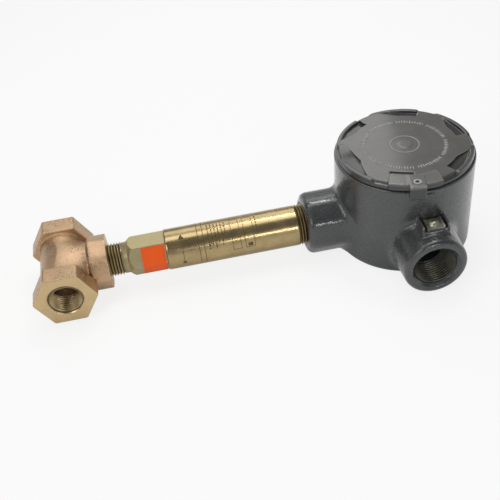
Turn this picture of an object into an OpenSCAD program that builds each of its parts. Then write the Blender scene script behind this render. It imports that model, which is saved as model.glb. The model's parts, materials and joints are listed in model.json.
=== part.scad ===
// Vane-operated flow switch: a bronze pipe tee, a brass switch body that holds a
// magnetically coupled snap switch, and a cast junction box with a screwed cover.
// X runs from the tee to the box, Y along the flow, and Z up out of the cover.
// The origin is the centre of the tee's inlet mouth. Lengths are millimetres.

/* [Pipe tee] */
// Length of the run from mouth to mouth
tee_run = 60; // [56:1:70]
// Width across the flats of the run's hexagon ends
tee_hex_af = 35.3; // [34:0.1:38]
// Thickness of each hexagon end along the run
tee_hex_t = 12.4; // [10:0.1:16]
// Outer radius of the cast barrel and neck
tee_barrel_r = 15; // [14:0.1:16.5]
// Radius of the waterway inside
tee_way_r = 9.5; // [9.2:0.1:10]
// Distance from the run's axis to the branch's end face
tee_branch_l = 29; // [28:0.5:34]
// Length of the eight-sided band at the end of the branch
tee_band_l = 12; // [8:0.5:14]
// Width across the flats of that band
tee_band_af = 33.8; // [33:0.1:34.4]
// Radius that rounds the band's corners
tee_band_r = 17.6; // [17.3:0.1:18]

/* [Pipe threads] */
// Outside radius of the half-inch taper pipe thread
pipe_thread_r = 10.66; // [10.5:0.01:10.8]
// Length of that thread inside each tee mouth
pipe_thread_l = 14; // [12:0.5:15]
// Outside radius of the three-quarter-inch taper pipe thread
hub_thread_r = 13.28; // [13.1:0.01:13.4]
// Depth of that thread in each hub of the box
hub_thread_l = 19; // [16:0.5:20]
// Length of the switch body's thread that sits in its hub
hub_grip_l = 15; // [12:0.5:16]
// Thread pitch of both sizes
pipe_pitch = 1.814; // [1.7:0.01:1.9]
// Depth of the thread form
thread_depth = 1.3; // [1:0.05:1.4]
// Radial clearance between a male and a female thread
thread_fit = 0.04; // [0.02:0.01:0.1]

/* [Lower body] */
// Bare length of the male thread between the tee and the neck
stem_show_l = 8.7; // [6:0.1:12]
// Length of the plain neck after the thread
neck_l = 3.3; // [2:0.1:5]
// Length of the cone from the neck up to the hexagon
cone_l = 3.3; // [2:0.1:4]
// Length of the hexagon
hex_l = 21.7; // [20:0.1:26]
// Width across the flats of the hexagon
body_hex_af = 22.2; // [22:0.1:24]
// Turned radius that clips the hexagon's corners
hex_corner_r = 12.75; // [12.7:0.05:13]
// Radius of the wetted bore
wet_r = 7; // [6.9:0.05:7.2]
// Radius of the flared mouth of the wetted bore
wet_mouth_r = 7.6; // [7.5:0.05:7.8]
// Length of that flared mouth
wet_mouth_l = 8; // [7:0.5:10]
// Thickness of the pressure wall between the magnets
pressure_wall_t = 4; // [3.5:0.1:4.5]
// Length of the spigot that the upper body slides over
spigot_l = 8; // [7:0.1:10]
// Radius of the spigot's hollow
spigot_bore_r = 8; // [7.6:0.1:8.2]

/* [Label] */
// Width of the label along the body
label_w = 15; // [10:0.5:17]
// Thickness of the label
label_t = 0.25; // [0.15:0.05:0.4]
// Half of the angle that the label covers round the hexagon
label_half_a = 57; // [40:1:58]

/* [Upper body] */
// Outer radius of the tube
tube_r = 12.7; // [12.6:0.05:13]
// Radius of the tube's bore
tube_bore_r = 10.5; // [10.4:0.05:10.8]
// Length of the etched sleeve
sleeve_l = 86.2; // [80:0.1:110]
// Outer radius of the sleeve
sleeve_r = 13.2; // [13.1:0.05:13.5]
// Bare length of the male thread between the sleeve and the hub
thread_show_l = 4.8; // [3:0.1:8]

/* [Vane] */
// Radius of the vane's round end and half of its width
vane_r = 7.5; // [6.5:0.1:7.6]
// Thickness of the vane
vane_t = 0.8; // [0.5:0.1:1]
// Thickness of the arm
arm_t = 1.6; // [1.2:0.1:1.8]
// Width of the arm
arm_w = 5; // [4:0.1:5.2]
// Distance from the run's axis to the pivot
pivot_x = 42; // [41:0.1:43]
// Radius of the pivot pin
pivot_pin_r = 1; // [0.8:0.05:1.1]
// Radius of the vane's magnet
vane_magnet_r = 2.4; // [2:0.1:2.5]
// Length of the vane's magnet
vane_magnet_l = 4; // [3:0.1:4.2]

/* [Snap switch] */
// Length of the switch's case
case_l = 19.8; // [18:0.1:20.5]
// Height of the case
case_h = 10.2; // [9.6:0.1:10.4]
// Thickness of the case
case_t = 6.4; // [6:0.1:6.5]
// Travel of the plunger
plunger_travel = 0.84; // [0.5:0.01:0.9]
// Radius of the plunger
plunger_r = 0.8; // [0.6:0.05:1]
// Radius of the lever's magnet
lever_magnet_r = 2.1; // [1.8:0.1:2.3]
// Length of the lever's magnet
lever_magnet_l = 3.8; // [3:0.1:4]
// Radius of each lead over its insulation
lead_r = 0.75; // [0.5:0.05:0.8]
// Length of the potting plug
potting_l = 22; // [15:0.5:26]

/* [Junction box] */
// Outer radius of the box
box_r = 44.3; // [40:0.1:52]
// Thickness of the box's wall
box_wall = 6.3; // [6:0.1:8]
// Depth of the box's base below the hub axis
base_drop = 20; // [19.7:0.1:24]
// Height of the box's rim above the hub axis
rim_h = 43.6; // [42:0.1:50]
// Thickness of the floor
floor_t = 5; // [4:0.1:6]
// Radius of the rounded bottom edge
base_round = 3; // [2:0.1:3.5]
// Length of the body's hub beyond the wall of the box
body_hub_l = 23.4; // [21:0.1:26]
// Width across the flats of the eight-sided body hub
body_hub_af = 39.2; // [38.6:0.1:40]
// Radius that clips the corners of that hub
body_hub_r = 20.5; // [20:0.1:21]
// Length of the conduit hub beyond the wall of the box
conduit_hub_l = 20.9; // [19.5:0.1:26]
// Outer radius of the conduit hub
conduit_hub_r = 20; // [19.2:0.1:20.4]
// Radius of the conduit hub's foot where it meets the box
conduit_foot_r = 21.2; // [20.8:0.1:26]
// Radius of the wire way from each hub into the box
wire_way_r = 11; // [9:0.1:12]

/* [Cover] */
// Thickness of the cover from its flange's underside to its raised top
cover_t = 4.5; // [4.2:0.1:6]
// Thickness of the cover's thin outer flange
flange_t = 2.4; // [2:0.1:2.6]
// Step from the wall of the box in to the flange
flange_inset = 1.3; // [0.6:0.1:1.6]
// Step from the flange in to the raised top
plateau_inset = 1.7; // [1:0.1:2]
// Depth of the pockets from the edge of the raised top inward
pocket_depth = 7.7; // [6:0.1:8.5]
// Angle that each pocket covers
pocket_a = 44; // [36:1:50]
// Number of places round the cover, one of which holds the lug
pocket_n = 6; // [6:1:6]
// Thickness of the box's wall outside the cover's thread
thread_wall = 5.6; // [5.55:0.01:5.7]
// Length of the cover's thread
cover_thread_l = 13.6; // [12:0.1:16]
// Pitch of the cover's thread
cover_pitch = 3.175; // [2.5:0.005:3.5]
// Radial clearance between the cover's thread and the box's
cover_fit = 0.3; // [0.25:0.05:0.4]
// Gap between the flange and the box's rim
rim_gap = 0.3; // [0.2:0.05:0.5]
// Angle of the locking lug from the body's direction
lug_a = -99; // [-110:1:-90]
// Width of the locking lug
lug_w = 10; // [8:0.1:11]
// Height of the locking lug above the flange's underside
lug_h = 6; // [5.6:0.1:7]
// Step from the wall of the box out to the lug's outer face
lug_proud = 2.9; // [2.4:0.1:4]
// Length that the lug hangs down past the rim
lug_drop = 3.6; // [2:0.1:5]
// Section radius of the cover's seal
seal_r = 1; // [0.9:0.05:1.05]

/* [Ground screws] */
// Distance of the ground screw from the wall of the box
ground_out = 5.2; // [5.1:0.1:6]
// Height of the pad under the clamp above the hub axis
ground_pad_h = 21.2; // [20.8:0.1:21.6]
// Radius of the screws' threads
ground_screw_r = 2; // [1.6:0.1:2.2]
// Radius of the screws' heads
ground_head_r = 3.5; // [3.2:0.1:3.8]
// Height of the screws' heads
ground_head_h = 2.2; // [1.8:0.1:2.4]
// Width of the saddle clamp
clamp_w = 11; // [9:0.1:12]
// Length of the saddle clamp toward the box
clamp_l = 9.6; // [8:0.1:10]

/* [Hidden] */
$fn = 96;

// Overrun of every cut
over = 1;
// Gap between a piece and what it sits in, where nothing turns or slides
seat = 0.05;
// Radial clearance of what turns or slides
run_fit = 0.04;
// The flow axis runs along Y and the body axis lies at half of the run
axis_y = tee_run / 2;

// Stations along the switch body
stem_x = tee_branch_l - pipe_thread_l;
thread_end_x = tee_branch_l + stem_show_l;
cone_x = thread_end_x + neck_l;
hex_x = cone_x + cone_l;
hex_end_x = hex_x + hex_l;
spigot_end_x = hex_end_x + spigot_l;
wet_end_x = hex_end_x - pressure_wall_t;
sleeve_end_x = hex_end_x + sleeve_l;
hub_face_x = sleeve_end_x + thread_show_l;
body_hub_reach = box_r + body_hub_l;
box_x = hub_face_x + body_hub_reach;
tube_end_x = hub_face_x + hub_grip_l;
spigot_r = tube_bore_r - seat;
neck_share = 0.4;
neck_r = pipe_thread_r - thread_depth * neck_share;

// Distance of the label from the hexagon's end
label_gap = 1;

// Groove of the seal on the spigot
seal_groove_l = 1.7;
seal_groove_wall = 1;
seal_groove_r = spigot_bore_r + seal_groove_wall;
body_seal_r = (tube_bore_r - seal_groove_r) / 2 - seat;

// Vane and arm
vane_tip_gap = 1;
vane_tail_gap = 3;
vane_wide_share = 0.3;
vane_tail_share = 0.43;
vane_screw_shares = [1, 0.4];
vane_centre_x = vane_r - tee_way_r + vane_tip_gap;
vane_wide_x = tee_way_r * vane_wide_share;
vane_tail_x = stem_x - vane_tail_gap;
vane_screw_x = [for (share = vane_screw_shares) vane_tail_x - vane_r * share];
vane_screw_tip = 0.5;
vane_screw_r = 1.1;
vane_screw_head_r = 1.9;
vane_screw_head_h = 1.1;
arm_start_x = vane_screw_x[0] - vane_screw_head_r;
cup_wall = 0.5;
cup_floor_t = 1;
cup_gap = 1.5;
cup_r = vane_magnet_r + cup_wall;
cup_end_x = wet_end_x - cup_gap;
cup_x = cup_end_x - vane_magnet_l - cup_floor_t;
pivot_wall = 1.4;
pivot_hub_r = pivot_pin_r + pivot_wall;
pivot_hub_h = 7;
yoke_half_l = 3.5;
yoke_wall = 1.6;
yoke_bore_r = wet_r - yoke_wall;
pin_end_gap = 0.3;

// Return spring between the arm and the wall of the wetted bore
spring_reach = 9.5;
spring_x = pivot_x + spring_reach;
spring_r = 1.5;
spring_wire_r = 0.25;
spring_turns = 5;
spring_gap = 0.3;

// Lever
lever_gap = 1;
lever_reach = 18;
lever_drop = 4.3;
lever_press_l = 12;
lever_tail_l = 2;
lever_cup_x = hex_end_x + lever_gap;
lever_cup_r = lever_magnet_r + cup_wall + seat;
lever_cup_l = lever_magnet_l + cup_wall + seat;
lever_t = 1;
lever_w = 4.8;
lever_pivot_x = hex_end_x + lever_reach;
lever_y = axis_y - lever_drop;
lever_pin_r = 0.75;
lever_hub_r = 1.8;
lever_press_x = lever_pivot_x + lever_press_l;
lever_end_x = lever_press_x + lever_tail_l;
press_gap = 0.1;

// Bracket and snap switch
cheek_t = 1;
cheek_in = case_t / 2 + 2 * seat;
cheek_out = cheek_in + cheek_t;
bracket_gap = 0.3;
bracket_l = 43.7;
bracket_x = spigot_end_x + bracket_gap;
bracket_end_x = bracket_x + bracket_l;
plunger_share = 0.3;
plunger_rest = 0.16;
plunger_in_l = 1.5;
case_x = lever_press_x - case_l * plunger_share;
plunger_y = lever_y + lever_t / 2 + press_gap;
plunger_show = plunger_travel + plunger_rest;
case_y = plunger_y + plunger_show;
case_back_y = case_y + case_h;
plunger_l = plunger_show + plunger_in_l;
case_hole_r = 1.1;
case_hole_pitch = 9.5;
case_hole_in = 2.9;
switch_screw_r = 1;
switch_screw_head_r = 1.8;
switch_screw_head_h = 1.2;
switch_nut_r = 2.1;
switch_nut_h = 1.5;
tab_w = 1.6;
tab_t = 0.5;
tab_h = 1.7;
tab_count = 3;
tab_pitch = 7.3;
lead_z = [-2, 2, 0];
potting_x = bracket_end_x + bracket_gap;

// Junction box and cover
box_in_r = box_r - box_wall;
conduit_reach = box_r + conduit_hub_l;
ground_reach = box_r + ground_out;
base_z = -base_drop;
floor_z = base_z + floor_t;
body_hub_turn = -10;
body_hub_round = 4.5;
body_hub_mouth_r = 15.6;
conduit_y = axis_y - conduit_reach;
conduit_round = 3;
conduit_straight_l = 9;
pad_w = 17;
pad_l = 13;
pad_t = 7;
ground_ledge = 0.4;
ground_side = 2.3;
ground_x = box_x + ground_side;
ground_y = axis_y - ground_reach;
ground_hole_l = 5.4;
cover_thread_r = box_r - thread_wall;
flange_r = box_r - flange_inset;
plateau_r = flange_r - plateau_inset;
pocket_r = plateau_r - pocket_depth;
lug_r = box_r + lug_proud;
box_bore_r = cover_thread_r + cover_fit;
rim_chamfer = 1;
thread_runout = 0.4;
seal_gap = 0.3;
seal_sink = 0.2;
box_thread_z = rim_h - cover_thread_l - thread_runout;
seal_centre_r = box_bore_r + seal_r - seal_gap;
seal_z = rim_h - seal_r - seal_sink;
seal_seat_r = seal_centre_r + seal_r + seal_gap;
seal_seat_z = seal_z - seal_r - seal_gap;
skirt_relief_r = seal_centre_r - seal_r - seal_gap;
flange_z = rim_h + rim_gap;
flange_top_z = flange_z + flange_t;
top_z = flange_z + cover_t;
lug_top_z = flange_z + lug_h;
cover_skin_t = 3.5;
skirt_t = 6.2;
cover_in_r = cover_thread_r - skirt_t;
thread_end_z = rim_h - cover_thread_l;
pocket_rim_lap = 1.5;
pocket_rim_inset = 0.4;
pocket_rim_in_r = plateau_r - pocket_rim_lap;
pocket_rim_out_r = flange_r - pocket_rim_inset;
pocket_rim_h = 1.8;
lug_root = 4;
lug_in_r = plateau_r - lug_root;
lug_wall_gap = 0.4;
block_a = 17;
block_proud = 0.8;
block_r = flange_r + block_proud;
block_share = 0.58;
block_drop = 0.6;
rim_lap_a = 1;
rim_foot = 0.2;
block_gap_a = 26;
block_slot_inset = 1.6;
block_slot_r = pocket_r - block_slot_inset;
block_slot_w = 2.2;
block_slot_l = 14;
slot_depth = 1.2;
pocket_start_a = -1.5;
pocket_flat_share = 0.55;
pocket_past_share = 0.1;
pocket_past = 2;
lug_place = 4;
cover_thread_depth = 0.8;
lock_inset = 5;
lock_r = lug_r - lock_inset;
lock_screw_r = 2.3;
lock_point_r = 1.3;
lock_point_z = rim_h + seat;
lock_point_l = 1.7;
lock_shoulder_z = flange_z + lock_point_l;
lock_socket_r = 1.25;
lock_socket_h = 2.6;
lock_proud = 0.3;
inner_boss_r = 4.4;
inner_boss_h = 4;
inner_screw_inset = 6;
inner_screw_reach = box_in_r - inner_screw_inset;
clamp_t = 1.2;
clamp_leg_h = 2.2;
driver_slot_w = 0.9;
driver_slot_h = 1;
screw_end_gap = 0.5;

// Points of a rounded corner for an outline, about a centre
function arc(cx, cy, r, a0, a1, n = 6) =
    [for (i = [0:n]) [cx + r * cos(a0 + (a1 - a0) * i / n), cy + r * sin(a0 + (a1 - a0) * i / n)]];

// Frames whose local Z runs along the body, the flow and the other way
module along_x(x) { translate([x, axis_y, 0]) rotate([0, 90, 0]) children(); }
module along_y(x, y) { translate([x, y, 0]) rotate([-90, 0, 0]) children(); }
module hexagon(af, h) { cylinder(r = af / sqrt(3), h = h, $fn = 6); }
module octagon(af, h) { rotate([0, 0, 22.5]) cylinder(r = af / 2 / cos(22.5), h = h, $fn = 8); }

// Solid of a ridged screw thread, as rings of one pitch each on a core
module thread(r, depth, pitch, h) {
    n = floor(h / pitch);
    step = h / n;
    rotate_extrude() polygon(concat([[0, 0]],
        [for (i = [0:n - 1]) each [[r - depth, i * step], [r, (i + 0.35) * step], [r, (i + 0.55) * step],
            [r - depth, (i + 0.9) * step]]],
        [[r - depth, h], [0, h]]));
}

// Tube swept along points, with rings square to the path
module sweep(points, r, sides, up) {
    n = len(points);
    function unit(v) = v / norm(v);
    function dir(i) = unit(points[min(i + 1, n - 1)] - points[max(i - 1, 0)]);
    function side(i) = unit(cross(up, dir(i)));
    function ring(i) = [for (k = [0:sides - 1]) let (a = 360 * k / sides)
        points[i] + r * cos(a) * side(i) + r * sin(a) * cross(dir(i), side(i))];
    walls = [for (i = [0:n - 2], k = [0:sides - 1]) let (m = (k + 1) % sides)
        each [[i * sides + k, (i + 1) * sides + m, i * sides + m],
            [i * sides + k, (i + 1) * sides + k, (i + 1) * sides + m]]];
    caps = [for (k = [1:sides - 2]) each [[0, k, k + 1],
        [(n - 1) * sides, (n - 1) * sides + k + 1, (n - 1) * sides + k]]];
    polyhedron([for (i = [0:n - 1]) each ring(i)], concat(walls, caps));
}

// Round-headed screw with a slot, its head's underside at zero and its shank down
module slotted_screw(r, l, head_r, head_h) {
    translate([0, 0, -l]) cylinder(r = r, h = l + seat);
    difference() {
        intersection() {
            cylinder(r = head_r, h = head_h);
            translate([0, 0, head_h - head_r * 1.25]) sphere(r = head_r * 1.25);
        }
        translate([-head_r - over, -driver_slot_w / 2, head_h - driver_slot_h])
            cube([2 * (head_r + over), driver_slot_w, driver_slot_h + over]);
    }
}

module tee() color([0.72, 0.53, 0.42]) difference() {
    union() {
        along_y(0, 0) hexagon(tee_hex_af, tee_hex_t);
        along_y(0, tee_run - tee_hex_t) hexagon(tee_hex_af, tee_hex_t);
        along_y(0, tee_hex_t / 2) cylinder(r = tee_barrel_r, h = tee_run - tee_hex_t);
        along_x(0) cylinder(r = tee_barrel_r, h = tee_branch_l - tee_band_l / 2);
        along_x(tee_branch_l - tee_band_l) intersection() {
            rotate([0, 0, 22.5]) octagon(tee_band_af, tee_band_l);
            cylinder(r = tee_band_r, h = tee_band_l);
        }
    }
    along_y(0, -over) cylinder(r = tee_way_r, h = tee_run + 2 * over);
    for (y = [-over, tee_run - pipe_thread_l])
        along_y(0, y) cylinder(r = pipe_thread_r + thread_fit, h = pipe_thread_l + over);
    along_x(0) cylinder(r = tee_way_r, h = tee_branch_l);
    along_x(stem_x - 2 * over) cylinder(r = pipe_thread_r + thread_fit, h = pipe_thread_l + 3 * over);
}

module lower_body() color([0.62, 0.56, 0.36]) difference() {
    union() {
        along_x(stem_x) thread(pipe_thread_r, thread_depth, pipe_pitch, thread_end_x - stem_x);
        along_x(thread_end_x) cylinder(r = neck_r, h = cone_l + neck_l);
        intersection() {
            along_x(cone_x) rotate([0, 0, 30]) hexagon(body_hex_af, hex_end_x - cone_x);
            union() {
                along_x(cone_x) cylinder(r1 = neck_r, r2 = hex_corner_r, h = cone_l);
                along_x(hex_x) cylinder(r = hex_corner_r, h = hex_l);
            }
        }
        along_x(hex_end_x - over) cylinder(r = spigot_r, h = spigot_l + over);
    }
    along_x(stem_x - over) cylinder(r = wet_r, h = wet_end_x - stem_x + over);
    along_x(stem_x - over) cylinder(r = wet_mouth_r, h = wet_mouth_l + over);
    along_x(hex_end_x) cylinder(r = spigot_bore_r, h = spigot_l + over);
    along_x(hex_end_x + spigot_l / 2 - seal_groove_l / 2) difference() {
        cylinder(r = tube_bore_r + over, h = seal_groove_l);
        translate([0, 0, -over]) cylinder(r = seal_groove_r, h = seal_groove_l + 2 * over);
    }
}

module body_seal() color([0.12, 0.12, 0.12])
    along_x(hex_end_x + spigot_l / 2) rotate_extrude()
        translate([(tube_bore_r + seal_groove_r) / 2, 0]) circle(r = body_seal_r, $fn = 32);

module body_label() color([1, 0.42, 0.1]) intersection() {
    along_x(hex_end_x - label_gap - label_w) difference() {
        rotate([0, 0, 30]) hexagon(body_hex_af + 2 * label_t, label_w);
        translate([0, 0, -over]) rotate([0, 0, 30]) hexagon(body_hex_af, label_w + 2 * over);
    }
    along_x(hex_end_x - label_gap - label_w - over) linear_extrude(label_w + 2 * over)
        polygon([[0, 0], for (a = [-90 - label_half_a, -90, -90 + label_half_a])
            2 * body_hex_af * [cos(a), sin(a)]]);
}

module upper_body() color([0.55, 0.48, 0.3]) difference() {
    union() {
        along_x(hex_end_x) cylinder(r = tube_r, h = sleeve_end_x - hex_end_x);
        along_x(sleeve_end_x) thread(hub_thread_r, thread_depth, pipe_pitch, tube_end_x - sleeve_end_x);
    }
    along_x(hex_end_x - over) cylinder(r = tube_bore_r, h = tube_end_x - hex_end_x + 2 * over);
}

module nameplate_sleeve() color([0.82, 0.7, 0.42]) along_x(hex_end_x + 2 * seat) difference() {
    cylinder(r = sleeve_r, h = sleeve_l - 3 * seat);
    translate([0, 0, -over]) cylinder(r = tube_r + seat, h = sleeve_l + 2 * over);
}

module vane() color([0.75, 0.76, 0.78]) translate([0, axis_y + arm_t / 2 + vane_t, 0]) rotate([90, 0, 0])
    difference() {
        linear_extrude(vane_t) union() {
            translate([vane_centre_x, 0]) circle(r = vane_r);
            polygon([[vane_centre_x, -vane_r], [vane_wide_x, -vane_r],
                [vane_tail_x, -vane_r * vane_tail_share], [vane_tail_x, vane_r * vane_tail_share],
                [vane_wide_x, vane_r], [vane_centre_x, vane_r]]);
        }
        for (x = vane_screw_x) translate([x, 0, -over])
            cylinder(r = vane_screw_r + seat, h = vane_t + 2 * over);
    }

module vane_arm() color([0.7, 0.7, 0.72]) difference() {
    union() {
        translate([arm_start_x, axis_y - arm_t / 2, -arm_w / 2])
            cube([cup_x - arm_start_x + over, arm_t, arm_w]);
        along_x(cup_x) cylinder(r = cup_r, h = cup_end_x - cup_x);
        translate([pivot_x, axis_y, -pivot_hub_h / 2]) cylinder(r = pivot_hub_r, h = pivot_hub_h);
    }
    translate([pivot_x, axis_y, -pivot_hub_h / 2 - over])
        cylinder(r = pivot_pin_r + run_fit, h = pivot_hub_h + 2 * over);
    along_x(cup_end_x - vane_magnet_l - seat) cylinder(r = vane_magnet_r + seat, h = vane_magnet_l + over);
    for (x = vane_screw_x) along_y(x, axis_y - arm_t)
        cylinder(r = vane_screw_r + seat, h = 2 * arm_t);
}

module vane_screws() color([0.8, 0.8, 0.82])
    for (x = vane_screw_x) translate([x, axis_y - arm_t / 2, 0]) rotate([90, 0, 0])
        slotted_screw(vane_screw_r, arm_t + vane_t + vane_screw_tip, vane_screw_head_r, vane_screw_head_h);

module vane_magnet() color([0.25, 0.25, 0.27])
    along_x(cup_end_x - vane_magnet_l) cylinder(r = vane_magnet_r, h = vane_magnet_l - seat);

module pivot_yoke() color([0.66, 0.6, 0.42]) difference() {
    along_x(pivot_x - yoke_half_l) cylinder(r = wet_r - seat, h = 2 * yoke_half_l);
    along_x(pivot_x - yoke_half_l - over) cylinder(r = yoke_bore_r, h = 2 * (yoke_half_l + over));
    translate([pivot_x, axis_y, -wet_r]) cylinder(r = pivot_pin_r + seat / 2, h = 2 * wet_r);
}

module vane_pin() color([0.8, 0.8, 0.82])
    translate([pivot_x, axis_y, pin_end_gap - wet_r])
        cylinder(r = pivot_pin_r, h = 2 * (wet_r - pin_end_gap));

// Coil from the wall of the wetted bore to the arm
module return_spring() color([0.7, 0.7, 0.72]) {
    y0 = axis_y - sqrt(pow(wet_r, 2) - pow(spring_r + spring_wire_r, 2)) + spring_gap + spring_wire_r;
    y1 = axis_y - arm_t / 2 - spring_gap - spring_wire_r;
    steps = spring_turns * 8;
    sweep([for (i = [0:steps]) let (a = 45 * i)
        [spring_x + spring_r * cos(a), y0 + (y1 - y0) * i / steps, spring_r * sin(a)]],
        spring_wire_r, 6, [0, 1, 0]);
}

module switch_lever() color([0.72, 0.72, 0.74]) difference() {
    union() {
        translate([lever_cup_x + cup_floor_t, lever_y - lever_t / 2, -lever_w / 2])
            cube([lever_end_x - lever_cup_x - cup_floor_t, lever_t, lever_w]);
        translate([lever_pivot_x, lever_y, -lever_w / 2]) cylinder(r = lever_hub_r, h = lever_w);
        along_x(lever_cup_x) cylinder(r = lever_cup_r, h = lever_cup_l);
        translate([lever_cup_x + cup_floor_t, lever_y, -lever_w / 4])
            cube([lever_cup_l - cup_floor_t, axis_y - lever_magnet_r - lever_y, lever_w / 2]);
    }
    translate([lever_pivot_x, lever_y, -lever_w]) cylinder(r = lever_pin_r + run_fit, h = 2 * lever_w);
    along_x(lever_cup_x - over) cylinder(r = lever_magnet_r + seat, h = lever_magnet_l + seat + over);
}

module switch_magnet() color([0.25, 0.25, 0.27])
    along_x(lever_cup_x) cylinder(r = lever_magnet_r, h = lever_magnet_l);

module lever_pin() color([0.8, 0.8, 0.82])
    translate([lever_pivot_x, lever_y, -cheek_out]) cylinder(r = lever_pin_r, h = 2 * cheek_out);

module switch_bracket() color([0.68, 0.69, 0.7]) difference() {
    union() {
        along_x(bracket_x) cylinder(r = tube_bore_r - 2 * seat, h = cheek_t);
        for (z = [-cheek_out, cheek_in])
            translate([bracket_x, lever_y - lever_hub_r - cheek_t, z])
                cube([bracket_end_x - bracket_x, case_back_y - lever_y + lever_hub_r + cheek_t, cheek_t]);
        translate([bracket_x, case_back_y + seat, -cheek_out])
            cube([case_x - bracket_x, cheek_t, 2 * cheek_out]);
        for (z = [-cheek_out, cheek_in])
            translate([bracket_x, case_back_y - over, z]) cube([case_x - bracket_x, over + seat, cheek_t]);
    }
    translate([bracket_x - over, lever_y - lever_hub_r - cheek_t, -cheek_in])
        cube([cheek_t + 2 * over, case_h, 2 * cheek_in]);
    translate([lever_pivot_x, lever_y, -2 * cheek_out])
        cylinder(r = lever_pin_r + seat / 2, h = 4 * cheek_out);
    case_holes(switch_screw_r + seat, 4 * cheek_out);
}

// The two cross holes of the switch's case, of a given radius and length
module case_holes(r, h) {
    for (s = [-1, 1])
        translate([case_x + case_l / 2 + s * case_hole_pitch / 2, case_back_y - case_hole_in, -h / 2])
            cylinder(r = r, h = h);
}

module snap_switch() color([0.15, 0.15, 0.16]) difference() {
    translate([case_x, case_y, -case_t / 2]) cube([case_l, case_h, case_t]);
    case_holes(case_hole_r, 2 * case_t);
    along_y(lever_press_x, case_y - over) cylinder(r = plunger_r + run_fit, h = over + plunger_l);
}

module switch_plunger() color([0.75, 0.1, 0.1])
    along_y(lever_press_x, plunger_y) cylinder(r = plunger_r, h = plunger_l);

module switch_terminals() color([0.85, 0.7, 0.4])
    for (i = [0:tab_count - 1]) {
        x = case_x + case_l / 2 + (i - 1) * tab_pitch - tab_w / 2;
        z = lead_z[i];
        translate([x, case_back_y, -tab_t / 2]) cube([tab_w, tab_h, tab_t]);
        translate([x, case_back_y + tab_t, min(z, 0) - tab_t / 2])
            cube([tab_w, tab_h - tab_t, abs(z) + tab_t]);
    }

module switch_screws() color([0.8, 0.8, 0.82])
    for (s = [-1, 1])
        translate([case_x + case_l / 2 + s * case_hole_pitch / 2, case_back_y - case_hole_in, cheek_out])
            slotted_screw(switch_screw_r, 2 * cheek_out + switch_nut_h + seat, switch_screw_head_r,
                switch_screw_head_h);

module switch_nuts() color([0.78, 0.78, 0.8])
    for (s = [-1, 1])
        translate([case_x + case_l / 2 + s * case_hole_pitch / 2, case_back_y - case_hole_in,
            -cheek_out - switch_nut_h]) difference() {
            cylinder(r = switch_nut_r, h = switch_nut_h, $fn = 6);
            translate([0, 0, -over]) cylinder(r = switch_screw_r + seat / 2, h = switch_nut_h + 2 * over);
        }

module switch_leads()
    for (i = [0:tab_count - 1]) {
        x = case_x + case_l / 2 + (i - 1) * tab_pitch + tab_w / 2;
        color([[0.1, 0.1, 0.1], [0.7, 0.1, 0.1], [0.1, 0.2, 0.6]][i])
            translate([x, case_back_y + tab_h - lead_r, lead_z[i]]) rotate([0, 90, 0])
                cylinder(r = lead_r, h = potting_x + potting_l - x, $fn = 24);
    }

module lead_seal() color([0.18, 0.17, 0.16]) difference() {
    along_x(potting_x) cylinder(r = tube_bore_r - seat, h = potting_l);
    for (z = lead_z) translate([potting_x - over, case_back_y + tab_h - lead_r, z]) rotate([0, 90, 0])
        cylinder(r = lead_r + seat, h = potting_l + 2 * over, $fn = 24);
}

// Shell of the box, turned about its axis
module box_shell() {
    r = box_r;
    rotate_extrude() polygon(concat([[0, base_z]],
        arc(r - base_round, base_z + base_round, base_round, -90, 0),
        [[r, rim_h - rim_chamfer], [r - rim_chamfer, rim_h], [0, rim_h]]));
}

// Eight-sided hub that holds the switch body, rounded at its mouth
module body_hub() {
    rr = body_hub_round;
    l = body_hub_reach - box_in_r + over;
    along_x(hub_face_x) intersection() {
        rotate([0, 0, body_hub_turn]) octagon(body_hub_af, l);
        rotate_extrude() polygon(concat([[0, 0], [body_hub_mouth_r, 0]],
            arc(body_hub_r - rr, rr, rr, -90, 0), [[body_hub_r, l], [0, l]]));
    }
}

// Round conduit hub that widens a little to the box, cut level with its base
module conduit_hub() {
    r = conduit_hub_r;
    l = conduit_reach - box_in_r + over;
    flare = l - conduit_straight_l;
    foot = conduit_foot_r - r;
    along_y(box_x, conduit_y) intersection() {
        rotate_extrude() polygon(concat([[0, 0]],
            arc(r - conduit_round, conduit_round, conduit_round, -90, 0),
            [for (i = [0:8]) [r + foot * pow(i / 8, 2), conduit_straight_l + flare * i / 8]],
            [[0, l]]));
        translate([-conduit_foot_r, -conduit_foot_r, 0])
            cube([2 * conduit_foot_r, conduit_foot_r + base_drop - base_round / 4, l]);
    }
}

// Flat pad under the outside ground screw, and the room above it, which stops short of the wall
module ground_pad(z, h) {
    translate([ground_x - pad_w / 2, ground_y - pad_l / 2, z])
        cube([pad_w, axis_y - box_r + over - (ground_y - pad_l / 2), h]);
}

// Space inside the box, with the cover's thread and the seat of its seal
module box_cavity() {
    translate([0, 0, floor_z]) cylinder(r = box_in_r, h = rim_h - floor_z + over);
    translate([0, 0, box_thread_z]) cylinder(r = box_bore_r, h = rim_h - box_thread_z + over);
    translate([0, 0, seal_seat_z]) cylinder(r = seal_seat_r, h = rim_h - seal_seat_z + over);
}

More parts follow.
